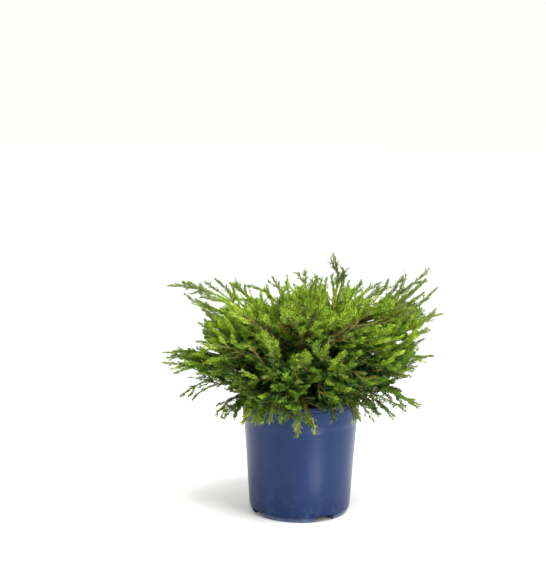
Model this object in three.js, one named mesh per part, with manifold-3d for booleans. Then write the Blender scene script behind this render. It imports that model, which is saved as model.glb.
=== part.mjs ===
// A potted repanda common juniper: a blue nursery pot, its soil, a short stem and arching boughs
// that each end in a mass of needle-clad shoots. Millimetres, +Z up; the front is at -Y.
import * as THREE from "three";
import { mergeVertices } from "three/addons/utils/BufferGeometryUtils.js";
import Module from "manifold-3d";

const wasm = await Module();
wasm.setup();

const GAP = 0.3;
const SAME_PLACE = 1e-4;

// The pot's outside from the ground up: a chamfered foot, a tapering body, a band and a thin lip.
const POT = {
  height: 154,
  baseRadius: 61.5,
  chamferHeight: 7,
  chamferShoulder: [0.7, 0.35],
  footRadius: 65.4,
  bodyTopRadius: 73.4,
  bandFrom: 120,
  bandStep: 1.2,
  bandRadius: 75.2,
  bandTopRadius: 76,
  lipFrom: 148,
  lipRadius: 77,
  lipRound: 0.7,
  wall: 1.6,
  floor: 2,
  sides: 40,
};
const NOTCH = { count: 4, turn: -59, width: 26, height: 8, depth: 9 };
const SOIL = { top: 139, crown: 2.5, flatRadius: 22, crownRadius: 40, crownDrop: 0.4 };

// The stem's foot is hidden by the foliage; it is cut flat at soil level.
const STEM = {
  top: 193,
  flareRadius: 10.5,
  flareHeight: 9,
  radius: 6.2,
  topRadius: 3.4,
  leanX: 2.5,
  leanY: -1.5,
  sides: 10,
  rings: 9,
  ringEase: 1.3,
};

// A bough tapers evenly from the stem to the tip of its mass, and ends where the mass begins. A mass
// with no bough stands on the stem by a slimmer foot.
const BOUGH = {
  rootRadius: 2.1,
  slimFoot: 0.5,
  tipRadius: 0.6,
  endsAt: 0.22,
  rootGrip: 0.4,
  tipGrip: 0.36,
  sway: 0.07,
  swayTurn: 2.4,
  spiral: 0.618,
  middlePoints: 24,
  sides: 4,
  rings: 4,
};

// Each tip: degrees round the pot from +X, reach, height and, where it isn't its tier's own, the
// slope it ends with. The inner tier's masses stand on the stem itself.
const TIERS = [
  {
    name: "low",
    rootFrom: 147,
    rootTo: 158,
    lift: 46,
    nod: -44,
    boughs: true,
    tips: [
      [-20, 128, 134, -50],
      [8, 158, 129],
      [60, 146, 146],
      [118, 146, 144],
      [172, 161, 142],
      [-152, 124, 138, -54],
      [-119, 118, 138, -66],
      [-93, 121, 128, -72],
      [-52, 119, 141, -62],
    ],
  },
  {
    name: "middle",
    rootFrom: 160,
    rootTo: 171,
    lift: 42,
    nod: 8,
    boughs: true,
    tips: [
      [-14, 174, 216],
      [5, 186, 259],
      [38, 168, 230],
      [85, 158, 224],
      [137, 164, 228],
      [-175, 182, 198],
      [-151, 154, 238],
      [-112, 132, 204],
      [-66, 134, 206],
    ],
  },
  {
    name: "high",
    rootFrom: 174,
    rootTo: 183,
    lift: 60,
    nod: 20,
    boughs: true,
    tips: [
      [-24, 124, 306],
      [5, 166, 320, 46],
      [50, 130, 284],
      [95, 116, 280],
      [138, 126, 284],
      [177, 176, 293, -6],
      [-158, 134, 294],
      [-90, 84, 284],
    ],
  },
  {
    name: "inner",
    rootFrom: 182,
    rootTo: 192,
    lift: 74,
    nod: 52,
    boughs: false,
    tips: [
      [24, 42, 338, 118],
      [-140, 88, 262],
      [-84, 14, 322, 98],
      [-46, 92, 260],
      [150, 46, 306],
    ],
  },
];

// The growing rule: side shoots leave a mass's own stem in a spiral, and sprigs leave the longer
// side shoots to left and right. Angles in degrees.
const GROWTH = {
  seed: 41,
  massStep: 101,
  sideShoots: 6,
  shootFrom: 0.02,
  shootTo: 0.86,
  placeVaries: 0.2,
  longest: 62,
  shortest: 17,
  lengthVaries: 0.15,
  spread: 38,
  spreadVaries: 8,
  turn: 137.5,
  turnVaries: 20,
  massTurn: 71,
  lean: 0.5,
  rise: 0.12,
  sprigsAt: [0.3, 0.55],
  sprigFrom: 42,
  sprigLength: 27,
  sprigFirst: 1.15,
  sprigLast: 0.75,
  sprigSpread: 40,
  sprigTurnVaries: 34,
  trims: [1, 0.78, 0.58, 0.42],
};

// A clad shoot: its core, how far the needles stand out, and how far apart the whorls are.
const CLAD = {
  foot: 1.14,
  core: 1.9,
  tipCore: 1.2,
  spread: 3.6,
  tipShare: 0.55,
  pitch: 17,
  leaderPitch: 24,
  sprigPitch: 18,
  overhang: 1.15,
  bareFoot: 8,
};
const WELD = 0.3;
const CLEAR = { neighbours: 0.5, pot: 1.2, wall: 4, soil: 2, stem: 4, stemTop: 1 };

const PLASTIC = new THREE.MeshStandardMaterial({ color: 0x35466b, roughness: 0.35, metalness: 0 });
const PEAT = new THREE.MeshStandardMaterial({ color: 0x2b2119, roughness: 1, metalness: 0 });
const BARK = new THREE.MeshStandardMaterial({ color: 0x7a5338, roughness: 0.9, metalness: 0 });
const NEEDLES = new THREE.MeshStandardMaterial({ color: 0x5f8a2a, roughness: 0.7, metalness: 0 });

const rad = THREE.MathUtils.degToRad;
const lerp = THREE.MathUtils.lerp;

// Repeatable random numbers from 0 to 1.
function seeded(seed) {
  let state = seed >>> 0;
  return () => {
    state = (state + 0x6d2b79f5) >>> 0;
    let mixed = state;
    mixed = Math.imul(mixed ^ (mixed >>> 15), mixed | 1);
    mixed ^= mixed + Math.imul(mixed ^ (mixed >>> 7), mixed | 61);
    return ((mixed ^ (mixed >>> 14)) >>> 0) / 2 ** 32;
  };
}

// A closed geometry as a solid, without the faces that shrink to nothing on the axis.
function solidOf(geometry) {
  const bare = new THREE.BufferGeometry();
  bare.setAttribute("position", geometry.getAttribute("position"));
  bare.setIndex(geometry.getIndex());
  const merged = mergeVertices(bare, SAME_PLACE);
  const corners = merged.getIndex().array;
  const kept = [];
  for (let i = 0; i < corners.length; i += 3) {
    const [a, b, c] = corners.slice(i, i + 3);
    if (a !== b && b !== c && c !== a) kept.push(a, b, c);
  }
  return new wasm.Manifold(
    new wasm.Mesh({
      numProp: 3,
      vertProperties: merged.getAttribute("position").array,
      triVerts: new Uint32Array(kept),
    }),
  );
}

function geometryOf(solid) {
  const mesh = solid.getMesh();
  const geometry = new THREE.BufferGeometry();
  geometry.setAttribute("position", new THREE.BufferAttribute(mesh.vertProperties, 3));
  geometry.setIndex(new THREE.BufferAttribute(mesh.triVerts, 1));
  geometry.computeVertexNormals();
  return geometry;
}

function named(name, geometry, material) {
  const mesh = new THREE.Mesh(geometry, material);
  mesh.name = name;
  return mesh;
}

// A profile of [radius, height] pairs turned round the Z axis.
function turned(profile, sides) {
  const points = profile.map(([radius, height]) => new THREE.Vector2(radius, height));
  return new THREE.LatheGeometry(points, sides).rotateX(Math.PI / 2);
}

function pot() {
  const inner = (radius) => radius - POT.wall;
  const [shoulderOut, shoulderUp] = POT.chamferShoulder;
  const profile = [
    [0, 0],
    [POT.baseRadius, 0],
    [lerp(POT.baseRadius, POT.footRadius, shoulderOut), POT.chamferHeight * shoulderUp],
    [POT.footRadius, POT.chamferHeight],
    [POT.bodyTopRadius, POT.bandFrom],
    [POT.bandRadius, POT.bandFrom + POT.bandStep],
    [POT.bandTopRadius, POT.lipFrom],
    [POT.lipRadius, POT.lipFrom + POT.lipRound],
    [POT.lipRadius, POT.height - POT.lipRound],
    [POT.lipRadius - POT.lipRound, POT.height],
    [inner(POT.bandTopRadius) + POT.lipRound, POT.height],
    [inner(POT.bandTopRadius), POT.height - POT.lipRound],
    [inner(POT.bandRadius), POT.bandFrom + POT.bandStep],
    [inner(POT.bodyTopRadius), POT.bandFrom],
    [inner(POT.footRadius), POT.chamferHeight],
    [inner(POT.baseRadius), POT.floor],
    [0, POT.floor],
  ];
  let shell = solidOf(turned(profile, POT.sides));
  for (let i = 0; i < NOTCH.count; i += 1) {
    const cutter = new THREE.BoxGeometry(NOTCH.depth * 2, NOTCH.width, NOTCH.height * 2);
    cutter.translate(POT.footRadius, 0, 0);
    cutter.rotateZ(rad(NOTCH.turn + (i * 360) / NOTCH.count));
    shell = shell.subtract(solidOf(cutter));
  }
  return named("pot", geometryOf(shell), PLASTIC);
}

function soil() {
  const inside = (radius) => radius - POT.wall - GAP;
  const edge = SOIL.top - SOIL.crown;
  const edgeShare = (edge - POT.bandFrom) / (POT.lipFrom - POT.bandFrom);
  const profile = [
    [0, POT.floor + GAP],
    [inside(POT.baseRadius), POT.floor + GAP],
    [inside(POT.footRadius), POT.chamferHeight],
    [inside(POT.bodyTopRadius), POT.bandFrom],
    [inside(POT.bandRadius), POT.bandFrom + POT.bandStep + GAP],
    [inside(lerp(POT.bandRadius, POT.bandTopRadius, edgeShare)) - GAP / 2, edge],
    [SOIL.crownRadius, SOIL.top - SOIL.crownDrop],
    [SOIL.flatRadius, SOIL.top],
    [0, SOIL.top],
  ];
  return named("soil", turned(profile, POT.sides / 2), PEAT);
}

// The stem's middle and thickness at a height.
function stemCentre(height) {
  const share = (height - SOIL.top) / (STEM.top - SOIL.top);
  return new THREE.Vector3(STEM.leanX * share ** 2, STEM.leanY * share ** 2, height);
}

function stemRadius(height) {
  const share = (height - SOIL.top) / (STEM.top - SOIL.top);
  const above = Math.min((height - SOIL.top) / STEM.flareHeight, 1);
  const flare = (STEM.flareRadius - STEM.radius) * (1 - above) ** 2;
  return lerp(STEM.radius, STEM.topRadius, share) + flare;
}

function stem() {
  const rod = new THREE.CylinderGeometry(1, 1, 1, STEM.sides, STEM.rings).rotateX(Math.PI / 2);
  const corners = rod.getAttribute("position");
  for (let i = 0; i < corners.count; i += 1) {
    const height = lerp(SOIL.top + GAP, STEM.top, (corners.getZ(i) + 0.5) ** STEM.ringEase);
    const centre = stemCentre(height);
    const radius = stemRadius(height);
    corners.setXYZ(i, centre.x + corners.getX(i) * radius, centre.y + corners.getY(i) * radius, height);
  }
  return named("stem", geometryOf(solidOf(rod)), BARK);
}

function direction(azimuth, elevation) {
  return new THREE.Vector3(
    Math.cos(azimuth) * Math.cos(elevation),
    Math.sin(azimuth) * Math.cos(elevation),
    Math.sin(elevation),
  );
}

// The arching line from the stem through a bough to the furthest tip of its mass.
function boughCurve(tier, index) {
  const [turn, reach, top, nod = tier.nod] = tier.tips[index];
  const azimuth = rad(turn);
  const lift = rad(tier.lift);
  const height = lerp(tier.rootFrom, tier.rootTo, (index * BOUGH.spiral) % 1);
  const halfFoot = BOUGH.rootRadius * (tier.boughs ? 1 : BOUGH.slimFoot);
  const out = stemRadius(height) + GAP + halfFoot * Math.sin(lift);
  const root = stemCentre(height).addScaledVector(direction(azimuth, 0), out);
  const tip = direction(azimuth, 0).multiplyScalar(reach).setZ(top);
  const span = root.distanceTo(tip);
  const across = direction(azimuth + Math.PI / 2, 0);
  const sway = span * BOUGH.sway * Math.sin(index * BOUGH.swayTurn);
  const first = root.clone().addScaledVector(direction(azimuth, lift), span * BOUGH.rootGrip);
  const last = tip.clone().addScaledVector(direction(azimuth, rad(nod)), -span * BOUGH.tipGrip);
  first.addScaledVector(across, sway);
  last.addScaledVector(across, -sway);
  return new THREE.CubicBezierCurve3(root, first, last, tip);
}

const LINES = TIERS.flatMap((tier) =>
  tier.tips.map((tip, index) => {
    const curve = boughCurve(tier, index);
    return {
      name: tier.name,
      number: index + 1,
      starts: tier.boughs ? BOUGH.endsAt : 0,
      curve,
      side: direction(rad(tip[0]) + Math.PI / 2, 0),
      middle: curve.getPoints(BOUGH.middlePoints),
    };
  }),
);

// Two directions square to a tangent, the first as near as can be to the bough's own side.
function squareTo(tangent, side) {
  const level = side.clone().addScaledVector(tangent, -side.dot(tangent)).normalize();
  const upper = new THREE.Vector3().crossVectors(tangent, level);
  return [level, upper];
}

// Lays a shape that stands on Z from 0 to 1 along part of a curve, turning each ring by twist.
function laidAlong(geometry, curve, from, to, side, twist = () => 0) {
  const corners = geometry.getAttribute("position");
  for (let i = 0; i < corners.count; i += 1) {
    const at = Math.min(lerp(from, to, corners.getZ(i)), 1);
    const place = curve.getPoint(at);
    const [level, upper] = squareTo(curve.getTangent(at), side);
    const angle = twist(i);
    const x = corners.getX(i) * Math.cos(angle) - corners.getY(i) * Math.sin(angle);
    const y = corners.getX(i) * Math.sin(angle) + corners.getY(i) * Math.cos(angle);
    place.addScaledVector(level, x).addScaledVector(upper, y);
    corners.setXYZ(i, place.x, place.y, place.z);
  }
  return geometry;
}

function limbRadius(share) {
  return lerp(BOUGH.rootRadius, BOUGH.tipRadius, share);
}

function bough(line) {
  const ends = [limbRadius(line.starts), limbRadius(0)];
  const rod = new THREE.CylinderGeometry(...ends, 1, BOUGH.sides, BOUGH.rings);
  rod.rotateX(Math.PI / 2).translate(0, 0, 0.5);
  laidAlong(rod, line.curve, 0, line.starts, line.side);
  return named(`${line.name}_bough_${line.number}`, geometryOf(solidOf(rod)), BARK);
}

// Where the whorls of needles stand on a shoot, as shares of it, and last the foot of its tip.
function whorlStations(length, pitch) {
  const bare = CLAD.bareFoot / length;
  const whorls = Math.max(Math.round((length * (1 - bare)) / pitch) - 1, 1);
  return Array.from({ length: whorls + 1 }, (_, i) => bare + (i * (1 - bare)) / (whorls + 1));
}

// A three-sided shoot clad in whorls of three needles that point forward, each whorl turned
// half a step on the one below it. It is bare wood up to the first whorl.
function cladShoot(curve, from, to, side, wood, stations) {
  const last = stations.length - 1;
  const step = 1 - stations[last];
  const profile = [
    [0, 0],
    [wood, 0],
  ];
  const turns = [0, 0];
  stations.forEach((station, whorl) => {
    const core = lerp(CLAD.core, CLAD.tipCore, station);
    const spread = CLAD.spread * lerp(1, CLAD.tipShare, station);
    profile.push([core, station]);
    turns.push(whorl);
    if (whorl === last) return;
    profile.push([core + spread, station + step * CLAD.overhang]);
    turns.push(whorl);
  });
  profile.push([0, 1]);
  turns.push(last);
  const twist = (corner) => turns[corner % profile.length] * (Math.PI / 3);
  return laidAlong(turned(profile, 3), curve, from, to, side, twist);
}

// A shoot's line, leaving its parent at an angle and bending forward along it.
function sideCurve(parent, at, side, spread, roll, length) {
  const start = parent.getPoint(at);
  const tangent = parent.getTangent(at);
  const [level, upper] = squareTo(tangent, side);
  const away = level.multiplyScalar(Math.cos(roll)).addScaledVector(upper, Math.sin(roll));
  const out = tangent.clone().multiplyScalar(Math.cos(spread)).addScaledVector(away, Math.sin(spread));
  const bent = out.clone().addScaledVector(tangent, GROWTH.lean);
  bent.z += GROWTH.rise;
  bent.normalize();
  const middle = start.clone().addScaledVector(out, length / 2);
  const end = middle.clone().addScaledVector(bent, length / 2);
  return new THREE.QuadraticBezierCurve3(start, middle, end);
}

function distanceTo(point, middle) {
  const segment = new THREE.Line3();
  const nearest = new THREE.Vector3();
  let least = Infinity;
  for (let i = 1; i < middle.length; i += 1) {
    segment.set(middle[i - 1], middle[i]).closestPointToPoint(point, true, nearest);
    least = Math.min(least, nearest.distanceTo(point));
  }
  return least;
}

function clearOfPotAndStem(point) {
  const out = Math.hypot(point.x, point.y);
  if (out < STEM.flareRadius + CLEAR.stem && point.z < STEM.top + CLEAR.stemTop) return false;
  if (out < POT.lipRadius - POT.wall - CLEAR.wall) return point.z > SOIL.top + CLEAR.soil;
  return point.z > POT.height + CLEAR.pot || out > POT.lipRadius + CLEAR.pot;
}

// A point belongs to the mass whose own line is the nearest.
function staysHome(point, home) {
  if (!clearOfPotAndStem(point)) return false;
  const limit = distanceTo(point, home.middle) + CLEAR.neighbours;
  return LINES.every((line) => line === home || distanceTo(point, line.middle) > limit);
}

function keepsToSpace(geometry, home) {
  const corners = geometry.getAttribute("position");
  const point = new THREE.Vector3();
  for (let i = 0; i < corners.count; i += 1) {
    if (!staysHome(point.fromBufferAttribute(corners, i), home)) return false;
  }
  return true;
}

// Tries a shoot at its full length, then shorter ones; one that never fits is left out.
function grown(home, parent, at, spread, roll, length, pitch) {
  for (const trim of GROWTH.trims) {
    const size = length * trim;
    const curve = sideCurve(parent, at, home.side, spread, roll, size);
    const stations = whorlStations(size, pitch);
    const shoot = cladShoot(curve, 0, 1, home.side, CLAD.foot, stations);
    if (keepsToSpace(shoot, home)) return { curve, shoot, size };
  }
  return null;
}

function sprigs(home, sideShoot, turn) {
  return GROWTH.sprigsAt.flatMap((at, k) => {
    const length = GROWTH.sprigLength * lerp(GROWTH.sprigFirst, GROWTH.sprigLast, at);
    const roll = Math.PI * k + turn;
    const sprig = grown(home, sideShoot.curve, at, rad(GROWTH.sprigSpread), roll, length, CLAD.sprigPitch);
    return sprig ? [sprig.shoot] : [];
  });
}

// The shoots are joined, the hollows that this seals are filled and any loose scrap is dropped.
function fused(shoots) {
  const bodies = wasm.Manifold.union(shoots.map(solidOf)).simplify(WELD).decompose();
  return bodies.reduce((best, body) => (body.volume() > best.volume() ? body : best));
}

function foliage(home, index) {
  const random = seeded(GROWTH.seed + index * GROWTH.massStep);
  const swing = (most) => (random() * 2 - 1) * most;
  const whole = home.curve.getLength();
  const start = home.starts > 0 ? home.starts + GAP / whole : 0;
  const length = whole * (1 - home.starts);
  const stations = whorlStations(length, CLAD.leaderPitch);
  const shoots = [cladShoot(home.curve, start, 1, home.side, limbRadius(home.starts), stations)];
  for (let i = 0; i < GROWTH.sideShoots; i += 1) {
    const share = (i + 0.5 + swing(GROWTH.placeVaries)) / GROWTH.sideShoots;
    const at = lerp(BOUGH.endsAt, 1, lerp(GROWTH.shootFrom, GROWTH.shootTo, share));
    const spread = rad(GROWTH.spread + swing(GROWTH.spreadVaries));
    const roll = rad(i * GROWTH.turn + swing(GROWTH.turnVaries) + index * GROWTH.massTurn);
    const long = lerp(GROWTH.longest, GROWTH.shortest, share) * (1 + swing(GROWTH.lengthVaries));
    const sprigTurn = rad(swing(GROWTH.sprigTurnVaries));
    const made = grown(home, home.curve, at, spread, roll, long, CLAD.pitch);
    if (!made) continue;
    shoots.push(made.shoot);
    if (made.size > GROWTH.sprigFrom) shoots.push(...sprigs(home, made, sprigTurn));
  }
  return named(`${home.name}_foliage_${home.number}`, geometryOf(fused(shoots)), NEEDLES);
}

const juniper = new THREE.Group();
juniper.add(pot(), soil(), stem());
LINES.forEach((line, index) => {
  if (line.starts > 0) juniper.add(bough(line));
  juniper.add(foliage(line, index));
});

export default juniper;
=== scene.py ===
import math
from itertools import product
from types import SimpleNamespace

import bmesh
import bpy
import numpy as np
from mathutils import Matrix, Vector, noise


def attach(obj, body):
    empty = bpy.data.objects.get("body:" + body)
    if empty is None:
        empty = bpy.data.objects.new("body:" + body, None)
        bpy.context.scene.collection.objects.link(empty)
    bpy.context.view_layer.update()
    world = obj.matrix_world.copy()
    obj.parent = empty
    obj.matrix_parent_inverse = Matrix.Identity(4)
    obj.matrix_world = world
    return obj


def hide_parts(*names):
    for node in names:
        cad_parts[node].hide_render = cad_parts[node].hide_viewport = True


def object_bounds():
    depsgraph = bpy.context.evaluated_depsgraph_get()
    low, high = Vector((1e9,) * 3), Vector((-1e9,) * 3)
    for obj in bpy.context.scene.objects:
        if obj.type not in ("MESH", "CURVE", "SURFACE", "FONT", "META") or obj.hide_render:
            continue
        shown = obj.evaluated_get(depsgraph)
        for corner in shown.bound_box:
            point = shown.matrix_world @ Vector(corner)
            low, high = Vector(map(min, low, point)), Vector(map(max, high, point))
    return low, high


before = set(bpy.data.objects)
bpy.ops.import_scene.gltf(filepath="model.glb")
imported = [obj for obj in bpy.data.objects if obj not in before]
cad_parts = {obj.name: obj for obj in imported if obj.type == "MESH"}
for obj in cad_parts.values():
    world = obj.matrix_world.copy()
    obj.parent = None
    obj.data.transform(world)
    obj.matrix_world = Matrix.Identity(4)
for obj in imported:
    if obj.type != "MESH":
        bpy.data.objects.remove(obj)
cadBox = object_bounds()
scene = bpy.context.scene
mm = 0.001  # the plant is worked out in millimetres, like the solids that it stands for

# The view: a long lens a little above the pot's rim, turned very slightly.
photoView = {
    "place": (-0.0375, -2.14, 0.672),
    "lookDown": 10.0,  # degrees under the horizon
    "roll": 0.57,
    "lens": 106.3,
}


def placeCamera():
    data = bpy.data.cameras.new("photoCamera")
    data.lens = photoView["lens"]
    camera = bpy.data.objects.new("photoCamera", data)
    tilt = Matrix.Rotation(math.radians(90 - photoView["lookDown"]), 4, "X")
    roll = Matrix.Rotation(math.radians(photoView["roll"]), 4, "Z")
    camera.matrix_world = Matrix.Translation(photoView["place"]) @ tilt @ roll
    scene.collection.objects.link(camera)
    scene.camera = camera


# The studio: a white floor, a white room and soft lamps, the main one to the right of the camera.
studio = {
    "floorSize": 200.0,
    "floorColour": (0.95, 0.955, 0.93),
    "roomColour": (1.0, 1.0, 0.99),
    "roomStrength": 1.04,
    "lamps": {  # degrees right of the view, degrees up, distance, width, height, watts
        "window": (40, 24, 2.2, 0.7, 1.5, 22),
        "ceiling": (40, 72, 1.9, 1.2, 1.2, 66),
    },
    "aim": (0, 0, 0.18),
    "spotPlace": (0.36, -0.58, 0.5),
    "spotAim": (0.11, -0.2, 0.0),
    "spotCone": 10.5,
    "spotEdge": 0.6,
    "spotWatts": 130,
}


def buildStudio():
    size = studio["floorSize"]
    mesh = bpy.data.meshes.new("paleFloor")
    corners = [(-size, -size, 0), (size, -size, 0), (size, size, 0), (-size, size, 0)]
    mesh.from_pydata(corners, [], [(0, 1, 2, 3)])
    mesh.materials.append(plainFinish("floorWhite", studio["floorColour"], roughness=0.6))
    floor = bpy.data.objects.new("paleFloor", mesh)
    scene.collection.objects.link(floor)
    world = bpy.data.worlds.new("whiteRoom")
    world.use_nodes = True
    room = world.node_tree.nodes["Background"]
    room.inputs["Color"].default_value = (*studio["roomColour"], 1)
    room.inputs["Strength"].default_value = studio["roomStrength"]
    scene.world = world
    for name, (across, up, away, width, height, watts) in studio["lamps"].items():
        lamp = bpy.data.lights.new(name, "AREA")
        lamp.shape = "RECTANGLE"
        lamp.size = width
        lamp.size_y = height
        a, e = math.radians(across), math.radians(up)
        back = Vector((math.sin(a) * math.cos(e), -math.cos(a) * math.cos(e), math.sin(e)))
        hangLamp(lamp, Vector(studio["aim"]) + back * away, studio["aim"], watts)
    # A spot on the white floor beside the pot, which the plastic mirrors as a soft upright streak.
    spot = bpy.data.lights.new("floorSpot", "SPOT")
    spot.spot_size = math.radians(studio["spotCone"])
    spot.spot_blend = studio["spotEdge"]
    hangLamp(spot, studio["spotPlace"], studio["spotAim"], studio["spotWatts"])
    scene.view_settings.view_transform = "Standard"


def hangLamp(lamp, place, aim, watts):
    lamp.energy = watts
    holder = bpy.data.objects.new(lamp.name, lamp)
    holder.location = place
    holder.rotation_euler = (Vector(place) - Vector(aim)).to_track_quat("Z", "Y").to_euler()
    scene.collection.objects.link(holder)


# Small helpers for materials, meshes and node trees.
def addNode(tree, kind, inputs=None, **settings):
    node = tree.nodes.new(kind)
    for key, value in settings.items():
        setattr(node, key, value)
    for socket, value in (inputs or {}).items():
        if isinstance(value, bpy.types.NodeSocket):
            tree.links.new(value, node.inputs[socket])
        else:
            node.inputs[socket].default_value = value
    return node


def plainFinish(name, colour, roughness=0.5, gloss=0.5):
    material = bpy.data.materials.new(name)
    material.use_nodes = True
    shader = material.node_tree.nodes["Principled BSDF"]
    shader.inputs["Base Color"].default_value = (*colour, 1)
    shader.inputs["Roughness"].default_value = roughness
    shader.inputs["Specular IOR Level"].default_value = gloss
    material.diffuse_color = (*colour, 1)
    return material


# A ramp between two colours.
def colourRamp(tree, factor, stops):
    ramp = addNode(tree, "ShaderNodeValToRGB", {"Fac": factor})
    for point, (place, colour) in zip(ramp.color_ramp.elements, stops):
        point.position = place
        point.color = (*colour, 1)
    return ramp.outputs["Color"]


def solidNoise(tree, where, scale, detail=3.0, roughness=0.55, stretch=(1, 1, 1)):
    mapped = addNode(tree, "ShaderNodeMapping", {"Vector": where, "Scale": stretch}).outputs["Vector"]
    inputs = {"Vector": mapped, "Scale": scale, "Detail": detail, "Roughness": roughness}
    return addNode(tree, "ShaderNodeTexNoise", inputs).outputs["Fac"]


def objectPlace(tree):
    return addNode(tree, "ShaderNodeTexCoord").outputs["Object"]


def calculate(tree, operation, first, second):
    return addNode(tree, "ShaderNodeMath", {0: first, 1: second}, operation=operation).outputs["Value"]


def mixColours(tree, share, first, second):
    mix = addNode(tree, "ShaderNodeMix", {"Factor": share, "A": first, "B": second}, data_type="RGBA")
    return mix.outputs["Result"]


# Values from low to high become values from first to last.
def remapped(tree, value, low=0.0, high=1.0, first=0.0, last=1.0):
    inputs = {"Value": value, 1: low, 2: high, 3: first, 4: last}
    return addNode(tree, "ShaderNodeMapRange", inputs).outputs["Result"]


def giveRelief(tree, height, strength, depth):
    bump = addNode(tree, "ShaderNodeBump", {"Height": height, "Strength": strength, "Distance": depth})
    tree.links.new(bump.outputs["Normal"], tree.nodes["Principled BSDF"].inputs["Normal"])


def linkPiece(name, mesh, material=None):
    if material:
        mesh.materials.clear()
        mesh.materials.append(material)
    piece = bpy.data.objects.new(name, mesh)
    scene.collection.objects.link(piece)
    return piece


def handOver(piece, slot, *nodes):
    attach(piece, "root")
    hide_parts(*nodes)
    print(f"{piece.name}: {len(piece.data.polygons)} faces")


def meshFromArrays(name, points, faces, smooth=True):
    mesh = bpy.data.meshes.new(name)
    mesh.from_pydata(points.tolist(), [], faces)
    mesh.update()
    if smooth:
        mesh.shade_smooth()
    return mesh


def startTree(name, sockets):
    tree = bpy.data.node_groups.new(name, "GeometryNodeTree")
    for label, kind in sockets.items():
        tree.interface.new_socket(label, in_out="INPUT", socket_type=kind)
    tree.interface.new_socket("Geometry", in_out="OUTPUT", socket_type="NodeSocketGeometry")
    return tree, tree.nodes.new("NodeGroupInput").outputs


# Ends a tree: instances made real, one finish on all of it and a second one on the selected faces.
def endTree(tree, geometry, finish, selected=None, second=None):
    real = addNode(tree, "GeometryNodeRealizeInstances", {"Geometry": geometry}).outputs["Geometry"]
    inputs = {"Geometry": real, "Material": finish}
    done = addNode(tree, "GeometryNodeSetMaterial", inputs).outputs["Geometry"]
    if selected is not None:
        inputs = {"Geometry": done, "Selection": selected, "Material": second}
        done = addNode(tree, "GeometryNodeSetMaterial", inputs).outputs["Geometry"]
    addNode(tree, "NodeGroupOutput", {"Geometry": done})


def attribute(tree, name, kind):
    node = addNode(tree, "GeometryNodeInputNamedAttribute", {"Name": name}, data_type=kind)
    return node.outputs["Attribute"]


def shapesIn(tree, collection):
    inputs = {"Collection": collection, "Separate Children": True, "Reset Children": True}
    return addNode(tree, "GeometryNodeCollectionInfo", inputs).outputs["Instances"]


# Runs a tree on a holder, keeps the plain mesh that it makes and removes the holder.
def growMesh(name, holder, tree, values):
    modifier = holder.modifiers.new("grow", "NODES")
    modifier.node_group = tree
    for item in tree.interface.items_tree:
        if item.in_out == "INPUT" and item.name in values:
            modifier[item.identifier] = values[item.name]
    scene.collection.objects.link(holder)
    graph = bpy.context.evaluated_depsgraph_get()
    mesh = bpy.data.meshes.new_from_object(holder.evaluated_get(graph))
    mesh.name = name
    for label in ("axis", "size", "turn", "variant", "thickness", "band"):
        if label in mesh.attributes:
            mesh.attributes.remove(mesh.attributes[label])
    holder.modifiers.remove(modifier)
    bpy.data.objects.remove(holder)
    return mesh


def dataPoints(name, points, edges=(), **values):
    mesh = bpy.data.meshes.new(name)
    mesh.from_pydata(points.tolist(), list(edges), [])
    for label, (kind, numbers) in values.items():
        field = "vector" if kind == "FLOAT_VECTOR" else "value"
        numbers = np.asarray(numbers, np.int32 if kind == "INT" else np.float32)
        mesh.attributes.new(label, kind, "POINT").data.foreach_set(field, numbers.ravel())
    return bpy.data.objects.new(name, mesh)


# The pot, in millimetres.
potSize = {
    "height": 154,
    "baseRadius": 61.5,
    "chamferHeight": 7,
    "footRadius": 65.4,
    "bodyTopRadius": 73.4,
    "bandFrom": 120,
    "bandStep": 7,
    "bandRadius": 75.2,
    "bandTopRadius": 76,
    "lipFrom": 148,
    "lipRadius": 77,
    "lipStep": 0.5,
    "lipRoll": 2.2,
    "lipEdge": 1.8,
    "mouth": 3,
    "groove": 0.5,
    "grooveFrom": 1.6,
    "grooveTo": 0.9,
    "wall": 1.6,
    "floor": 6,
    "underside": 4.2,
    "footRing": 5.5,
    "footRingWall": 1.5,
    "sides": 160,
    "sharpFrom": 35,  # degrees
}
notchSize = {"count": 4, "turn": -59, "width": 26, "height": 8, "depth": 13, "round": 2.5}


# Rounds the corners of a profile, each by the radius that stands beside its point.
def softened(profile, steps=5, mostOfSide=0.45):
    points = []
    for i, (radius, height, soft) in enumerate(profile):
        here = np.array([radius, height], float)
        if not soft or i in (0, len(profile) - 1):
            points.append(here)
            continue
        ways = []
        for other in (profile[i - 1], profile[i + 1]):
            way = np.array(other[:2], float) - here
            reach = np.linalg.norm(way)
            ways.append(here + way / reach * min(soft, reach * mostOfSide))
        for k in range(steps + 1):
            t = k / steps
            points.append((1 - t) ** 2 * ways[0] + 2 * t * (1 - t) * here + t * t * ways[1])
    return points


# The faces of a closed form: a point, rings of points and a last point.
def ringFaces(rings, sides):
    faces = []
    last = 1 + (rings - 1) * sides
    for k in range(sides):
        after = (k + 1) % sides
        faces.append((0, 1 + after, 1 + k))
        for low in range(1, last, sides):
            high = low + sides
            faces.append((low + k, low + after, high + after, high + k))
        faces.append((last + k, last + after, last + sides))
    return faces


# Turns a profile that starts and ends on the axis into a closed mesh that faces outwards.
def turnedMesh(name, profile, sides, lift=None):
    rings = profile[1:-1]
    angles = np.arange(sides) * 2 * math.pi / sides
    points = [(0, 0, profile[0][1])]
    for radius, height in rings:
        for angle in angles:
            points.append((radius * math.cos(angle), radius * math.sin(angle), height))
    points.append((0, 0, profile[-1][1]))
    points = np.array(points) * mm
    if lift:
        points = lift(points)
    return meshFromArrays(name, points, ringFaces(len(rings), sides))


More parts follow.
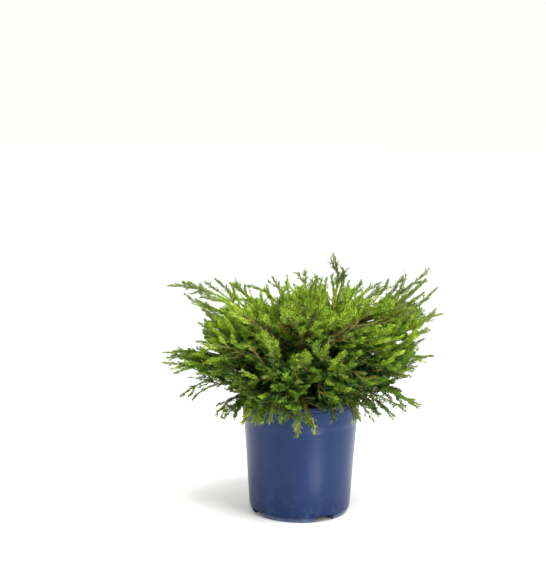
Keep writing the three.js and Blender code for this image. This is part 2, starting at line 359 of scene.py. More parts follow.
# From the middle of the underside, up the outside, over the lip and down the inside.
def potProfile():
    p = SimpleNamespace(**potSize)
    inner = lambda radius: radius - p.wall
    return softened([
        (0, p.underside, 0),
        (p.baseRadius - p.footRing - p.footRingWall, p.underside, 0.6),
        (p.baseRadius - p.footRing, 0, 0.5),
        (p.baseRadius, 0, 1.5),
        (p.footRadius, p.chamferHeight, 3.5),
        (p.bodyTopRadius, p.bandFrom, 3.2),
        (p.bandRadius, p.bandFrom + p.bandStep, 3.2),
        (p.bandTopRadius, p.lipFrom - p.grooveFrom, 0.3),
        (p.bandTopRadius - p.groove, p.lipFrom - p.grooveTo, 0.3),
        (p.bandTopRadius - p.groove, p.lipFrom, 0.2),
        (p.lipRadius, p.lipFrom + p.lipStep, 0.5),
        (p.lipRadius, p.height - p.lipRoll, 0.4),
        (p.lipRadius - p.lipStep, p.height - p.lipEdge, 0.2),
        (p.lipRadius - p.lipStep, p.height, 0.7),
        (inner(p.bandTopRadius), p.height, 0.8),
        (inner(p.bandTopRadius), p.height - p.mouth, 0.5),
        (inner(p.bandRadius), p.bandFrom + p.bandStep, 0.9),
        (inner(p.bodyTopRadius), p.bandFrom, 0.5),
        (inner(p.footRadius), p.chamferHeight, 2.5),
        (inner(p.baseRadius), p.floor, 1.5),
        (0, p.floor, 0),
    ])


# Rounded blocks that cut the drainage notches through the foot of the wall.
def notchCutters():
    n = SimpleNamespace(**notchSize)
    half, top = n.width / 2, n.height
    corners = [(-half, -top, 0), (half, -top, 0), (half, top, n.round), (-half, top, n.round)]
    outline = softened(corners + corners[:1])[:-1]
    count = len(outline)
    points = [(potSize["footRadius"] + side * n.depth, x, z) for side in (-1, 1) for x, z in outline]
    faces = [tuple(range(count))[::-1], tuple(range(count, 2 * count))]
    faces += [(k, (k + 1) % count, count + (k + 1) % count, count + k) for k in range(count)]
    cutters = []
    for i in range(n.count):
        mesh = meshFromArrays(f"notch{i}", np.array(points) * mm, faces)
        mesh.transform(Matrix.Rotation(math.radians(n.turn + i * 360 / n.count), 4, "Z"))
        cutters.append(bpy.data.objects.new(mesh.name, mesh))
    return cutters


# Its plastic: the blue drifts a little, with dust low down, a pale band along the foot that is a painted
# reflection of the white floor, and fine scuffs.
plastic = {
    "plainBlue": (0.003, 0.017, 0.075),
    "darkBlue": (0.001, 0.012, 0.058),
    "paleBlue": (0.002, 0.018, 0.08),
    "roughness": (0.25, 0.37),
    "dust": (0.07, 0.09, 0.14, 1),
    "dustTo": 0.05,  # metres above the ground
    "dustShares": (0.55, 0.06),  # at the foot, and above
    # the colour of the pale band along the foot, a painted reflection of the floor
    "paintedFootReflection": (0.2, 0.24, 0.36, 1),
    "paintedFootReflectionFrom": 0.001,
    "paintedFootReflectionTo": 0.007,
    "relief": 0.05,
    "reliefDepth": 0.0006,
}


def plasticFinish():
    material = plainFinish("bluePlastic", plastic["plainBlue"], roughness=0.32, gloss=0.19)
    tree = material.node_tree
    shader = tree.nodes["Principled BSDF"]
    where = objectPlace(tree)
    height = addNode(tree, "ShaderNodeSeparateXYZ", {"Vector": where}).outputs["Z"]
    drift = solidNoise(tree, where, scale=14, stretch=(1, 1, 0.25))
    blue = colourRamp(tree, drift, [(0.3, plastic["darkBlue"]), (0.7, plastic["paleBlue"])])
    flecks = solidNoise(tree, where, scale=60, detail=8, roughness=0.7)
    specks = colourRamp(tree, flecks, [(0.5, (0, 0, 0)), (0.72, (1, 1, 1))])
    low = remapped(tree, height, 0.0, plastic["dustTo"], *plastic["dustShares"])
    dusty = mixColours(tree, calculate(tree, "MULTIPLY", low, specks), blue, plastic["dust"])
    # A pale band along the chamfered foot: a painted reflection of the white floor.
    foot = remapped(tree, height, plastic["paintedFootReflectionFrom"], plastic["paintedFootReflectionTo"], 1.0, 0.0)
    footReflectionShare = calculate(tree, "MULTIPLY", foot, solidNoise(tree, where, scale=45, detail=4))
    tree.links.new(mixColours(tree, footReflectionShare, dusty, plastic["paintedFootReflection"]), shader.inputs["Base Color"])
    wear = solidNoise(tree, where, scale=30, stretch=(1, 1, 0.15))
    rough = remapped(tree, wear, 0.0, 1.0, *plastic["roughness"])
    tree.links.new(rough, shader.inputs["Roughness"])
    scuffs = solidNoise(tree, where, scale=420, detail=2, stretch=(1, 1, 0.08))
    peel = solidNoise(tree, where, scale=260, detail=1)
    giveRelief(tree, calculate(tree, "ADD", scuffs, peel), plastic["relief"], plastic["reliefDepth"])
    return material


def buildPot():
    turned = turnedMesh("mouldedPot", potProfile(), potSize["sides"])
    piece = linkPiece("mouldedPot", turned, plasticFinish())
    cutters = notchCutters()
    for cutter in cutters:
        scene.collection.objects.link(cutter)
        cut = piece.modifiers.new("cut", "BOOLEAN")
        cut.object = cutter
        cut.operation = "DIFFERENCE"
        cut.solver = "EXACT"
    graph = bpy.context.evaluated_depsgraph_get()
    mesh = bpy.data.meshes.new_from_object(piece.evaluated_get(graph))
    piece.modifiers.clear()
    piece.data = mesh
    for cutter in cutters:
        bpy.data.objects.remove(cutter)
    mesh.set_sharp_from_angle(angle=math.radians(potSize["sharpFrom"]))
    handOver(piece, "blue_plastic", "pot")


# The growing medium: an uneven dark surface inside the wall, with crumbs and chips of bark on it.
peat = {
    "top": 139,
    "crown": 2.5,
    "gap": 0.3,
    "corner": 2,  # how far it keeps out of the pot's inner corners
    "step": 1,
    "rimPress": 0.2,
    "rimInset": 0.4,
    "settled": 0.8,
    "unevenFrom": 1.5,  # below the rim
    "rings": 26,
    "sides": 120,
    "roughness": 1.5,
    "lumps": ((0.09, 3.1, 1.0), (0.31, 7.7, 0.5)),  # how close, where in the noise and how high
    "darkPeat": ((0.012, 0.008, 0.005), (0.05, 0.034, 0.022)),
    "crumbs": 30000,  # for each square metre
    "crumbSize": 1.5,
    "crumbScales": (0.25, 1.25),
    "crumbShapes": ((1, 0.8, 0.6), (1.3, 0.7, 0.5), (0.8, 0.8, 0.7), (2.4, 0.5, 0.3)),
    "crumbBumps": 0.25,
    "crumbsFrom": 2.4,
    "crumbColours": ((0.02, 0.012, 0.007), (0.085, 0.05, 0.028)),
    "seed": 12,
}


def peatFinish(name, dark, pale):
    material = plainFinish(name, dark, roughness=0.95, gloss=0.2)
    tree = material.node_tree
    grains = solidNoise(tree, objectPlace(tree), scale=380, detail=6, roughness=0.7)
    tones = colourRamp(tree, grains, [(0.35, dark), (0.75, pale)])
    tree.links.new(tones, tree.nodes["Principled BSDF"].inputs["Base Color"])
    giveRelief(tree, grains, strength=0.6, depth=0.001)
    return material


def peatHeight(x, y):
    lumps = sum(high * noise.noise(Vector((x * close, y * close, at))) for close, at, high in peat["lumps"])
    return lumps * peat["roughness"]


def buildPeat():
    p = SimpleNamespace(**potSize)
    s = SimpleNamespace(**peat)
    inside = lambda radius: radius - p.wall - s.gap
    edge = s.top - s.crown
    rim = inside(p.bandRadius) + s.rimPress
    profile = [
        (0, p.floor + s.gap),
        (inside(p.baseRadius) - s.corner, p.floor + s.gap),
        (inside(p.footRadius), p.chamferHeight + s.step),
        (inside(p.bodyTopRadius), p.bandFrom),
        (inside(p.bandRadius), p.bandFrom + p.bandStep + s.step),
        (rim, edge - s.corner),
    ]
    for ring in range(s.rings):
        share = 1 - ring / s.rings
        profile.append((rim * share - s.rimInset, edge + s.crown * (1 - share * share) - s.settled))
    profile.append((0, s.top - s.settled))

    def lift(points):
        for point in points:
            if point[2] > (edge - s.unevenFrom) * mm:
                point[2] += peatHeight(point[0] / mm, point[1] / mm) * mm
        return points

    mesh = turnedMesh("peatSurface", profile, s.sides, lift)
    surface = linkPiece("peatSurface", mesh, peatFinish("darkPeat", *s.darkPeat))
    handOver(surface, "potting_soil", "soil")
    return surface


# Crumbs are uneven hulls of an icosahedron's twelve corners, stretched to flakes and chips.
def crumbShapes():
    shapes = bpy.data.collections.new("crumbShapes")
    draw = np.random.default_rng(peat["seed"])
    golden = (1 + 5**0.5) / 2
    cornerReach = 1.9
    signs = [(a, b) for a in (-1, 1) for b in (-golden, golden)]
    corners = np.array([corner for a, b in signs for corner in ((0, a, b), (a, b, 0), (b, 0, a))])
    for i, stretch in enumerate(peat["crumbShapes"]):
        bumps = 1 + peat["crumbBumps"] * draw.uniform(-1, 1, (len(corners), 1))
        points = corners / cornerReach * np.array(stretch) * bumps
        mesh = hullMesh(f"crumb{i}", points * peat["crumbSize"] * mm)
        shapes.objects.link(bpy.data.objects.new(f"crumb{i}", mesh))
    return shapes


def hullMesh(name, points):
    shape = bmesh.new()
    for point in points:
        shape.verts.new(point)
    bmesh.ops.convex_hull(shape, input=shape.verts)
    mesh = bpy.data.meshes.new(name)
    shape.to_mesh(mesh)
    shape.free()
    return mesh


def crumbTree():
    tree, given = startTree(
        "crumbsOnPeat",
        {
            "Geometry": "NodeSocketGeometry",
            "Crumbs": "NodeSocketCollection",
            "Density": "NodeSocketFloat",
            "Seed": "NodeSocketInt",
            "Finish": "NodeSocketMaterial",
            "Surface height": "NodeSocketFloat",
        },
    )
    place = addNode(tree, "GeometryNodeInputPosition").outputs["Position"]
    height = addNode(tree, "ShaderNodeSeparateXYZ", {"Vector": place}).outputs["Z"]
    limit = {"A": height, "B": given["Surface height"]}
    onTop = addNode(tree, "FunctionNodeCompare", limit, operation="GREATER_THAN").outputs["Result"]
    scatter = {"Mesh": given["Geometry"], "Selection": onTop}
    scatter.update({name: given[name] for name in ("Density", "Seed")})
    points = addNode(tree, "GeometryNodeDistributePointsOnFaces", scatter).outputs["Points"]
    anyWay = {0: (0, 0, 0), 1: (6.28, 6.28, 6.28), "Seed": 3}
    turn = addNode(tree, "FunctionNodeRandomValue", anyWay, data_type="FLOAT_VECTOR").outputs[0]
    smallest, largest = peat["crumbScales"]
    size = addNode(tree, "FunctionNodeRandomValue", {2: smallest, 3: largest, "Seed": 5}, data_type="FLOAT")
    crumbs = addNode(
        tree,
        "GeometryNodeInstanceOnPoints",
        {
            "Points": points,
            "Instance": shapesIn(tree, given["Crumbs"]),
            "Pick Instance": True,
            "Rotation": addNode(tree, "FunctionNodeEulerToRotation", {"Euler": turn}).outputs["Rotation"],
            "Scale": size.outputs[1],
        },
    )
    endTree(tree, crumbs.outputs["Instances"], given["Finish"])
    return tree


def scatterCrumbs(surface):
    holder = bpy.data.objects.new("crumbHolder", surface.data.copy())
    values = {
        "Crumbs": crumbShapes(),
        "Density": float(peat["crumbs"]),
        "Seed": peat["seed"],
        "Finish": peatFinish("peatCrumbs", *peat["crumbColours"]),
        "Surface height": (peat["top"] - peat["crown"] - peat["crumbsFrom"]) * mm,
    }
    piece = linkPiece("peatCrumbs", growMesh("peatCrumbs", holder, crumbTree(), values))
    handOver(piece, "potting_soil", "soil")


# The plant's own rule, the same as the one that the solids grow by. Millimetres and degrees.
stem = {
    "top": 193,
    "flareRadius": 10.5,
    "flareHeight": 9,
    "radius": 6.2,
    "topRadius": 3.4,
    "leanX": 2.5,
    "leanY": -1.5,
}
bough = {
    "rootRadius": 2.1,
    "innerShare": 0.5,  # how thick the feet of the inner masses are beside it
    "endsAt": 0.22,
    "rootGrip": 0.4,
    "tipGrip": 0.36,
    "sway": 0.07,
    "swayTurn": 2.4,
    "spiral": 0.618,
    "gap": 0.3,
}
tiers = [
    {
        "name": "low", "rootFrom": 147, "rootTo": 158, "lift": 46, "nod": -44, "boughs": True,
        "tips": [
            (-20, 128, 134, -50), (8, 158, 129), (60, 146, 146), (118, 146, 144), (172, 161, 142),
            (-152, 124, 138, -54), (-119, 118, 138, -66), (-93, 121, 128, -72), (-52, 119, 141, -62),
        ],
    },
    {
        "name": "middle", "rootFrom": 160, "rootTo": 171, "lift": 42, "nod": 8, "boughs": True,
        "tips": [
            (-14, 174, 216), (5, 186, 259), (38, 168, 230), (85, 158, 224), (137, 164, 228),
            (-175, 182, 198), (-151, 154, 238), (-112, 132, 204), (-66, 134, 206),
        ],
    },
    {
        "name": "high", "rootFrom": 174, "rootTo": 183, "lift": 60, "nod": 20, "boughs": True,
        "tips": [
            (-24, 124, 306), (5, 166, 320, 46), (50, 130, 284), (95, 116, 280),
            (138, 126, 284), (177, 176, 293, -6), (-158, 134, 294), (-90, 84, 284),
        ],
    },
    {
        "name": "inner", "rootFrom": 182, "rootTo": 192, "lift": 74, "nod": 52, "boughs": False,
        "tips": [(24, 42, 338, 118), (-140, 88, 262), (-84, 14, 322, 98), (-46, 92, 260), (150, 46, 306)],
    },
]
growth = {
    "seed": 41,
    "massStep": 101,
    "sideShoots": 6,
    "shootFrom": 0.02,
    "shootTo": 0.86,
    "placeVaries": 0.2,
    "longest": 62,
    "shortest": 17,
    "lengthVaries": 0.15,
    "spread": 38,
    "spreadVaries": 8,
    "turn": 137.5,
    "turnVaries": 20,
    "massTurn": 71,
    "lean": 0.5,
    "rise": 0.12,
    "sprigsAt": (0.3, 0.55),
    "sprigFrom": 42,
    "sprigLength": 27,
    "sprigFirst": 1.15,
    "sprigLast": 0.75,
    "sprigSpread": 40,
    "sprigTurnVaries": 34,
    "trims": (1, 0.78, 0.58, 0.42),
    "middleSteps": 25,
}
cladding = {
    "foot": 1.14,
    "core": 1.9,
    "tipCore": 1.2,
    "spread": 3.6,
    "tipShare": 0.55,
    "pitch": 17,
    "sprigPitch": 18,
    "overhang": 1.15,
    "bareFoot": 8,
}
clear = {"neighbours": 0.5, "pot": 1.2, "wall": 4, "soil": 2, "stem": 4, "stemTop": 1}

# Finer than the solids: forks that fill the crown's outline, branches that grow into the free space
# between them, short shoots along all of these and small sprigs on the longer ones.
fine = {
    "seed": 977,
    "leaderLuck": (0.25, 0.75),  # luck runs from 0, for a dark shoot, to 1, for a light one
    "barkEnds": 0.6,  # the share of a bough that carries no needles
    "takenAt": (0.1, 1, 14),  # first, last and number of the places on each shoot that keep others away
    "forkAt": 0.24,
    "forkGrip": 0.36,
    "lowForks": 165,  # forks whose tips are lower than this droop
    "slots": {"leader": 7, "fork": 5},  # the branches that each may carry
    "slotVaries": 0.35,
    "slotFrom": 0.1,
    "slotTo": 0.84,
    "branchLongest": 88,
    "branchShortest": 34,
    "branchShare": 0.7,  # the most of its axis's own length
    "branchSpreads": (28, 44),
    "branchTrims": (1, 0.72, 0.5),
    "branchTested": (0.3, 0.5, 0.65, 0.8, 1),
    "branchTaken": (0.4, 0.6, 0.8, 1),
    "branchLean": (0.35, 0.3),  # how far it bends forward and upward
    "lowLean": (0.35, -0.06),
    "trimCosts": 0.5,  # how much a branch loses by being cut back
    "rolls": 8,
    "ownRoom": 16,  # how near its foot other wood doesn't count
    "step": 4.2,
    "stepVaries": 0.28,
    "from": 0.08,
    "to": 0.97,
    "branchFrom": 0.14,
    "branchTo": 0.95,
    "longest": 21,
    "slimTip": 0.035,  # the share of an axis that carries only needles at its tip
    "tipLength": 6,
    "growsBy": 0.2,  # how much longer they are for each millimetre from there
    "spread": 45,
    "spreadVaries": 10,
    "planeVaries": 48,  # how far a pair of shoots turns out of the bough's own plane
    "lengthVaries": 0.22,
    "luckVaries": 0.35,
    "shortLean": (0.22, 0.1),
    "trims": (1, 0.6),
    "tested": (0.3, 0.65, 1),
    "tinyStep": 5.6,
    "tinyFrom": 11,
    "tinyLength": 7.4,
    "boxRoom": 4,  # how far it keeps inside the box of the solids
    "potRoom": 2,
    "edgeThins": 0.16,  # how much the outline narrows towards the front and the back
    "barkShows": 4.2,  # how far from a bare stretch of wood no needles stand in front of it
    "bareFrom": 0.12,
    "bareSteps": 28,
}
# Azimuth, reach and height of the tips that forks grow to, the angle at which they end and how light
# each is, from 0 to 1. Where there is a sixth number, bare bark shows over that share of the fork.
forks = [
    (-4, 159, 310, 50, 0.6), (2, 151, 299, 50, 0.7), (8, 148, 288, 46, 0.6), (-5, 157, 293, 44, 0.5),
    (13, 184, 291, 46, 0.5), (-13, 174, 278, 58, 0.7), (-17, 167, 256, 42, 0.6),
    (-3, 168, 261, 40, 0.6), (3, 167, 240, 30, 0.5), (-7, 160, 233, 25, 0.5), (-2, 152, 193, 2, 0.7),
    (6, 148, 182, -6, 0.6), (-12, 147, 186, 0, 0.6), (-1, 157, 140, -22, 0.9),
    (-14, 140, 141, -30, 0.8), (-32, 110, 131, -50, 0.8), (175, 183, 203, -10, 0.6),
    (180, 177, 199, -10, 0.7), (-166, 170, 188, -20, 0.5), (180, 166, 210, 2, 0.6),
    (-176, 160, 190, -14, 0.5), (-164, 146, 153, -54, 0.6), (-172, 153, 290, 44, 0.7),
    (-166, 128, 278, 55, 0.6), (-152, 149, 262, 30, 0.6), (-153, 136, 250, 20, 0.5),
    (175, 127, 300, 35, 0.6), (172, 114, 303, 40, 0.7), (161, 94, 297, 55, 0.6),
    (-159, 56, 293, 100, 0.5), (172, 74, 296, 95, 0.5), (180, 46, 299, 84, 0.5),
    (123, 36, 298, 75, 0.5), (-71, 53, 320, 82, 0.9), (-64, 67, 320, 76, 0.8), (-74, 42, 314, 86, 0.7),
    (-39, 32, 313, 80, 0.6), (14, 61, 302, 96, 0.5), (20, 59, 310, 84, 0.5), (7, 78, 305, 65, 0.6),
    (23, 101, 294, 45, 0.5), (19, 55, 320, 96, 0.6), (-5, 111, 310, 70, 0.6), (9, 133, 309, 60, 0.6),
    (-72, 68, 300, 84, 1.0, 0.7), (-140, 117, 288, 45, 0.9, 0.75), (-139, 145, 239, 20, 0.9, 0.85),
    (-35, 105, 276, 40, 0.9, 0.8), (-15, 138, 276, 40, 0.9, 0.8), (-107, 73, 288, 70, 0.8, 0.7),
    (-118, 107, 138, -60, 1.1), (-82, 112, 130, -50, 1.0), (-86, 108, 140, -45, 0.9),
    (-96, 104, 147, -40, 0.9), (-68, 108, 141, -60, 0.4), (-150, 99, 131, -75, 0.6),
    (-136, 102, 132, -70, 1.1), (-148, 131, 228, 20, 1.2), (-77, 72, 273, 84, 1.05),
    (-139, 107, 265, 60, 1.1), (-54, 99, 266, 40, 1.0), (-3, 102, 303, 25, 0.6),
    (-105, 106, 141, -62, 0.9), (-95, 40, 285, 80, 0.8), (-32, 140, 243, 20, 0.6),
    (-59, 111, 252, 35, 0.5, 0.8), (-138, 96, 133, -70, 0.9), (-143, 94, 127, -60, 0.9),
    (-162, 104, 127, -56, 0.8), (-126, 106, 137, -64, 1.2), (-112, 107, 140, -64, 1.1),
    (-101, 108, 148, -56, 0.9), (-150, 128, 205, 0, 0.7), (-42, 100, 136, -66, 0.3),
    (28, 150, 184, -6, 0.4), (72, 148, 188, 0, 0.6), (100, 146, 258, 30, 0.7),
    (122, 148, 182, -10, 0.4), (152, 146, 258, 26, 0.7), (68, 138, 258, 34, 0.8),
    (142, 138, 152, -36, 0.3), (92, 132, 150, -36, 0.5), (38, 138, 150, -40, 0.4),
    (-30, 148, 200, -6, 0.3), (-130, 130, 180, -10, 0.65), (-100, 120, 176, -12, 0.2),
    (-50, 126, 178, -12, 0.3), (112, 84, 290, 60, 0.7), (20, 166, 208, -2, 0.5),
    (-108, 122, 160, -30, 0.6), (-80, 126, 178, -10, 0.2), (-92, 128, 200, 5, 0.3),
    (-66, 124, 160, -30, 0.2), (-122, 124, 192, 0, 0.4), (-52, 128, 205, 5, 0.5),
    (-92, 112, 152, -44, 0.35), (-76, 118, 226, 20, 0.3), (-128, 118, 152, -40, 0.85),
    (-40, 118, 158, -30, 0.4), (-110, 118, 232, 25, 0.5), (-34, 126, 226, 15, 0.6),
    (-163, 135, 276, 45, 0.8), (-161, 128, 270, 60, 0.7), (-166, 140, 284, 30, 0.8),
    (-158, 122, 266, 60, 0.8), (-4, 160, 207, 20, 0.7), (0, 150, 199, 10, 0.7),
    (-2, 132, 160, -20, 0.7), (4, 138, 144, -40, 0.7), (-147, 102, 136, -65, 0.9),
    (179, 170, 203, -6, 0.6), (178, 160, 199, -10, 0.6), (178, 74, 295, -5, 0.6),
    (-160, 58, 288, 60, 0.5),
]
# The crown's space: how wide it is to the left and to the right, its depth, how far it reaches above
# and below its widest height, and how much its top falls and its skirt rises further out.
crown = {
    "middle": (0, 8, 205),
    "left": 160,
    "right": 174,
    "deep": 140,
    "above": 96,
    "below": 90,
    "fullness": 3.2,
    "backFall": 0.15,
    "skirtFrom": 70,
    "skirtRise": 0.62,
    "skirtAt": 130,
}
# The full part of the crown as the camera sees it, in x and height at the plane of the stem. Only
# the forks and their side shoots reach past it.
fullOutline = [
    (-131, 253), (-122, 276), (-108, 270), (-90, 278), (-72, 272), (-51, 273), (-31, 280), (-13, 290),
    (2, 305), (28, 308), (32, 289), (41, 271), (55, 280), (65, 284), (77, 272), (99, 271), (105, 289),
    (120, 288), (128, 276), (148, 280), (160, 272), (158, 251), (154, 227), (150, 207), (146, 186),
    (124, 172), (110, 162), (78, 142), (59, 128), (44, 118), (20, 130), (-6, 122), (-50, 106),
    (-73, 116), (-82, 140), (-96, 158), (-104, 168), (-133, 178), (-156, 194), (-154, 208),
    (-130, 219), (-130, 235),
]
# Where the sky or the pot's rim shows through: x, height, half width and half height, seen the same way.
openings = [
    (43, 284, 9, 14), (86, 288, 8, 8), (94, 279, 5, 5), (-105, 281, 11, 7), (-112, 268, 6, 6),
    (-69, 285, 9, 5), (-52, 284, 4, 8), (-34, 292, 4, 10), (-12, 298, 4, 8), (114, 296, 4, 5),
    (135, 283, 4, 5), (-112, 205, 9, 4), (-126, 161, 11, 8), (-106, 148, 9, 7), (-148, 171, 11, 8),
    (140, 158, 9, 7), (165, 193, 8, 10), (162, 221, 7, 4), (12, 132, 11, 8), (62, 131, 9, 10),
    (84, 254, 8, 5), (-82, 271, 9, 5), (-106, 259, 8, 4), (127, 224, 4, 3), (139, 238, 3, 4),
    (91, 208, 5, 4),
]
# Dark hollows between the plumes: the same, but only in front of the stem.
hollows = [
    (-64, 259, 9, 12), (-19, 223, 9, 24), (-50, 166, 11, 13), (-67, 187, 7, 7), (18, 156, 11, 13),
    (43, 210, 7, 8), (76, 186, 8, 8), (3, 144, 6, 8),
]
hollowDepth = 62  # how far in front of the stem


def lerp(a, b, share):
    return a + (b - a) * share


# Repeatable random numbers from 0 to 1.
def seeded(seed):
    most = 0xFFFFFFFF
    state = seed & most

    def draw():
        nonlocal state
        state = (state + 0x6D2B79F5) & most
        mixed = state
        mixed = ((mixed ^ (mixed >> 15)) * (mixed | 1)) & most
        mixed ^= (mixed + (mixed ^ (mixed >> 7)) * (mixed | 61)) & most
        return (mixed ^ (mixed >> 14)) / 2**32

    return draw


def direction(azimuth, elevation):
    a, e = math.radians(azimuth), math.radians(elevation)
    return np.array([math.cos(a) * math.cos(e), math.sin(a) * math.cos(e), math.sin(e)])


def unit(vector):
    return vector / np.linalg.norm(vector, axis=-1, keepdims=True)


def curvePoints(controls, at):
    at = np.atleast_1d(at)[:, None]
    rows = [np.repeat(c[None], len(at), 0) for c in controls]
    while len(rows) > 1:
        rows = [a + (b - a) * at for a, b in zip(rows, rows[1:])]
    return rows[0]


def curveTangents(controls, at):
    return unit(curvePoints([b - a for a, b in zip(controls, controls[1:])], at))


def curveLength(controls, steps=41):
    points = curvePoints(controls, np.linspace(0, 1, steps))
    return float(np.linalg.norm(np.diff(points, axis=0), axis=1).sum())


def squareTo(tangents, side):
    level = unit(side - tangents * (tangents @ side)[..., None])
    return level, np.cross(tangents, level)


def stemCentre(height):
    share = (height - peat["top"]) / (stem["top"] - peat["top"])
    return np.array([stem["leanX"] * share**2, stem["leanY"] * share**2, height])


def stemRadius(height):
    share = (height - peat["top"]) / (stem["top"] - peat["top"])
    above = min((height - peat["top"]) / stem["flareHeight"], 1)
    flare = (stem["flareRadius"] - stem["radius"]) * (1 - above) ** 2
    return lerp(stem["radius"], stem["topRadius"], share) + flare


# The arching line from the stem through a bough to the furthest tip of its mass.
def boughControls(tier, index):
    turn, reach, top, *own = tier["tips"][index]
    nod = own[0] if own else tier["nod"]
    height = lerp(tier["rootFrom"], tier["rootTo"], (index * bough["spiral"]) % 1)
    halfFoot = bough["rootRadius"] * (1 if tier["boughs"] else bough["innerShare"])
    out = stemRadius(height) + bough["gap"] + halfFoot * math.sin(math.radians(tier["lift"]))
    root = stemCentre(height) + direction(turn, 0) * out
    tip = direction(turn, 0) * reach
    tip[2] = top
    span = np.linalg.norm(tip - root)
    sway = direction(turn + 90, 0) * span * bough["sway"] * math.sin(index * bough["swayTurn"])
    first = root + direction(turn, tier["lift"]) * span * bough["rootGrip"] + sway
    last = tip - direction(turn, nod) * span * bough["tipGrip"] - sway
    return [root, first, last, tip]


def drawLines():
    lines = []
    for tier in tiers:
        for index, tip in enumerate(tier["tips"]):
            controls = boughControls(tier, index)
            name = tier["name"]
            nodes = [f"{name}_foliage_{index + 1}"]
            if tier["boughs"]:
                nodes.append(f"{name}_bough_{index + 1}")
            lines.append(
                SimpleNamespace(
                    tier=name,
                    starts=bough["endsAt"] if tier["boughs"] else 0,
                    controls=controls,
                    side=direction(tip[0] + 90, 0),
                    middle=curvePoints(controls, np.linspace(0, 1, growth["middleSteps"])),
                    nodes=nodes,
                )
            )
    return lines


# How far each point is from the middle line of every mass.
def distances(points, middles):
    starts = middles[:, :-1]
    ways = np.diff(middles, axis=1)
    apart = points[:, None, None] - starts
    share = np.clip((apart * ways).sum(-1) / (ways * ways).sum(-1), 0, 1)
    return np.linalg.norm(apart - ways * share[..., None], axis=-1).min(-1)


def clearOfPotAndStem(points, room=0.0):
    out = np.hypot(points[:, 0], points[:, 1])
    z = points[:, 2]
    inStem = (out < stem["flareRadius"] + clear["stem"] - room) & (z < stem["top"] + clear["stemTop"])
    within = out < potSize["lipRadius"] - potSize["wall"] - clear["wall"]
    free = np.where(
        within,
        z > peat["top"] + clear["soil"],
        (z > potSize["height"] + clear["pot"]) | (out > potSize["lipRadius"] + clear["pot"]),
    )
    return free & ~inStem


def whorlStations(length, pitch):
    bare = cladding["bareFoot"] / length
    whorls = max(math.floor(length * (1 - bare) / pitch + 0.5) - 1, 1)
    return [bare + i * (1 - bare) / (whorls + 1) for i in range(whorls + 1)]


# The corners of the solid shoot, so that this one is trimmed exactly where that one is.
def cladCorners(controls, side, stations):
    last = len(stations) - 1
    step = 1 - stations[last]
    profile = [(0, 0, 0), (cladding["foot"], 0, 0)]
    for whorl, station in enumerate(stations):
        core = lerp(cladding["core"], cladding["tipCore"], station)
        profile.append((core, station, whorl))
        if whorl < last:
            spread = cladding["spread"] * lerp(1, cladding["tipShare"], station)
            profile.append((core + spread, station + step * cladding["overhang"], whorl))
    profile.append((0, 1, last))
    radius, at, turns = np.array(profile).T
    at = np.minimum(at, 1)
    place = curvePoints(controls, at)
    level, upper = squareTo(curveTangents(controls, at), side)
    corners = []
    for third in range(3):
        angle = third * 2 * math.pi / 3
        x, y = radius * math.sin(angle), -radius * math.cos(angle)
        twist = turns * math.pi / 3
        across = x * np.cos(twist) - y * np.sin(twist)
        above = x * np.sin(twist) + y * np.cos(twist)
        corners.append(place + level * across[:, None] + upper * above[:, None])
    return np.concatenate(corners)


# A shoot's line, leaving its parent at an angle and bending forward along it.
def sideControls(parent, at, side, spread, roll, length, lean=None):
    forward, upward = lean or (growth["lean"], growth["rise"])
    start = curvePoints(parent, at)[0]
    tangent = curveTangents(parent, at)[0]
    level, upper = squareTo(tangent, side)
    away = level * math.cos(roll) + upper * math.sin(roll)
    out = tangent * math.cos(spread) + away * math.sin(spread)
    bent = unit(out + tangent * forward + np.array([0, 0, upward]))
    middle = start + out * length / 2
    return [start, middle, middle + bent * length / 2]


# Where the lines of sight from the camera to some points cross the plane of the stem.
def seenFromFront(points):
    eye = np.array(photoView["place"]) / mm
    ray = points - eye
    seen = eye + ray * (-eye[1] / ray[:, 1])[:, None]
    return seen[:, 0], seen[:, 2]


def insideOutline(points):
    x, z = seenFromFront(points)
    away = 1 + fine["edgeThins"] * np.clip(np.abs(points[:, 1]) / crown["deep"], 0, 1)
    x = (x * away)[:, None]
    z = (crown["middle"][2] + (z - crown["middle"][2]) * away)[:, None]
    ax, az = np.array(fullOutline, float).T
    bx, bz = np.roll(ax, -1), np.roll(az, -1)
    crosses = (z < az) != (z < bz)
    rise = np.where(az == bz, 1, bz - az)
    return (crosses & (x < ax + (z - az) * (bx - ax) / rise)).sum(1) % 2 == 1


def inCrown(points):
    x, y, z = points.T
    middleX, middleY, widest = crown["middle"]
    up = z + crown["backFall"] * np.maximum(y, 0) - widest
    across = (x - middleX) / np.where(x > middleX, crown["right"], crown["left"])
    tall = np.where(up > 0, crown["above"], crown["below"])
    parts = (across, (y - middleY) / crown["deep"], up / tall)
    size = sum(np.abs(part) ** crown["fullness"] for part in parts)
    skirt = crown["skirtAt"] + crown["skirtRise"] * np.maximum(np.hypot(x, y) - crown["skirtFrom"], 0)
    return (size < 1) & (z > skirt) & insideOutline(points)


# Whether points lie outside a list of ellipses, seen from the front.
def outsideOf(ellipses, points):
    x, z = seenFromFront(points)
    middle, height, wide, tall = np.array(ellipses, float).T
    apart = ((x[:, None] - middle) / wide) ** 2 + ((z[:, None] - height) / tall) ** 2
    return (apart > 1).all(1)


def clearOfSky(points):
    inFront = points[:, 1] < -hollowDepth
    return outsideOf(openings, points) & (outsideOf(hollows, points) | ~inFront)


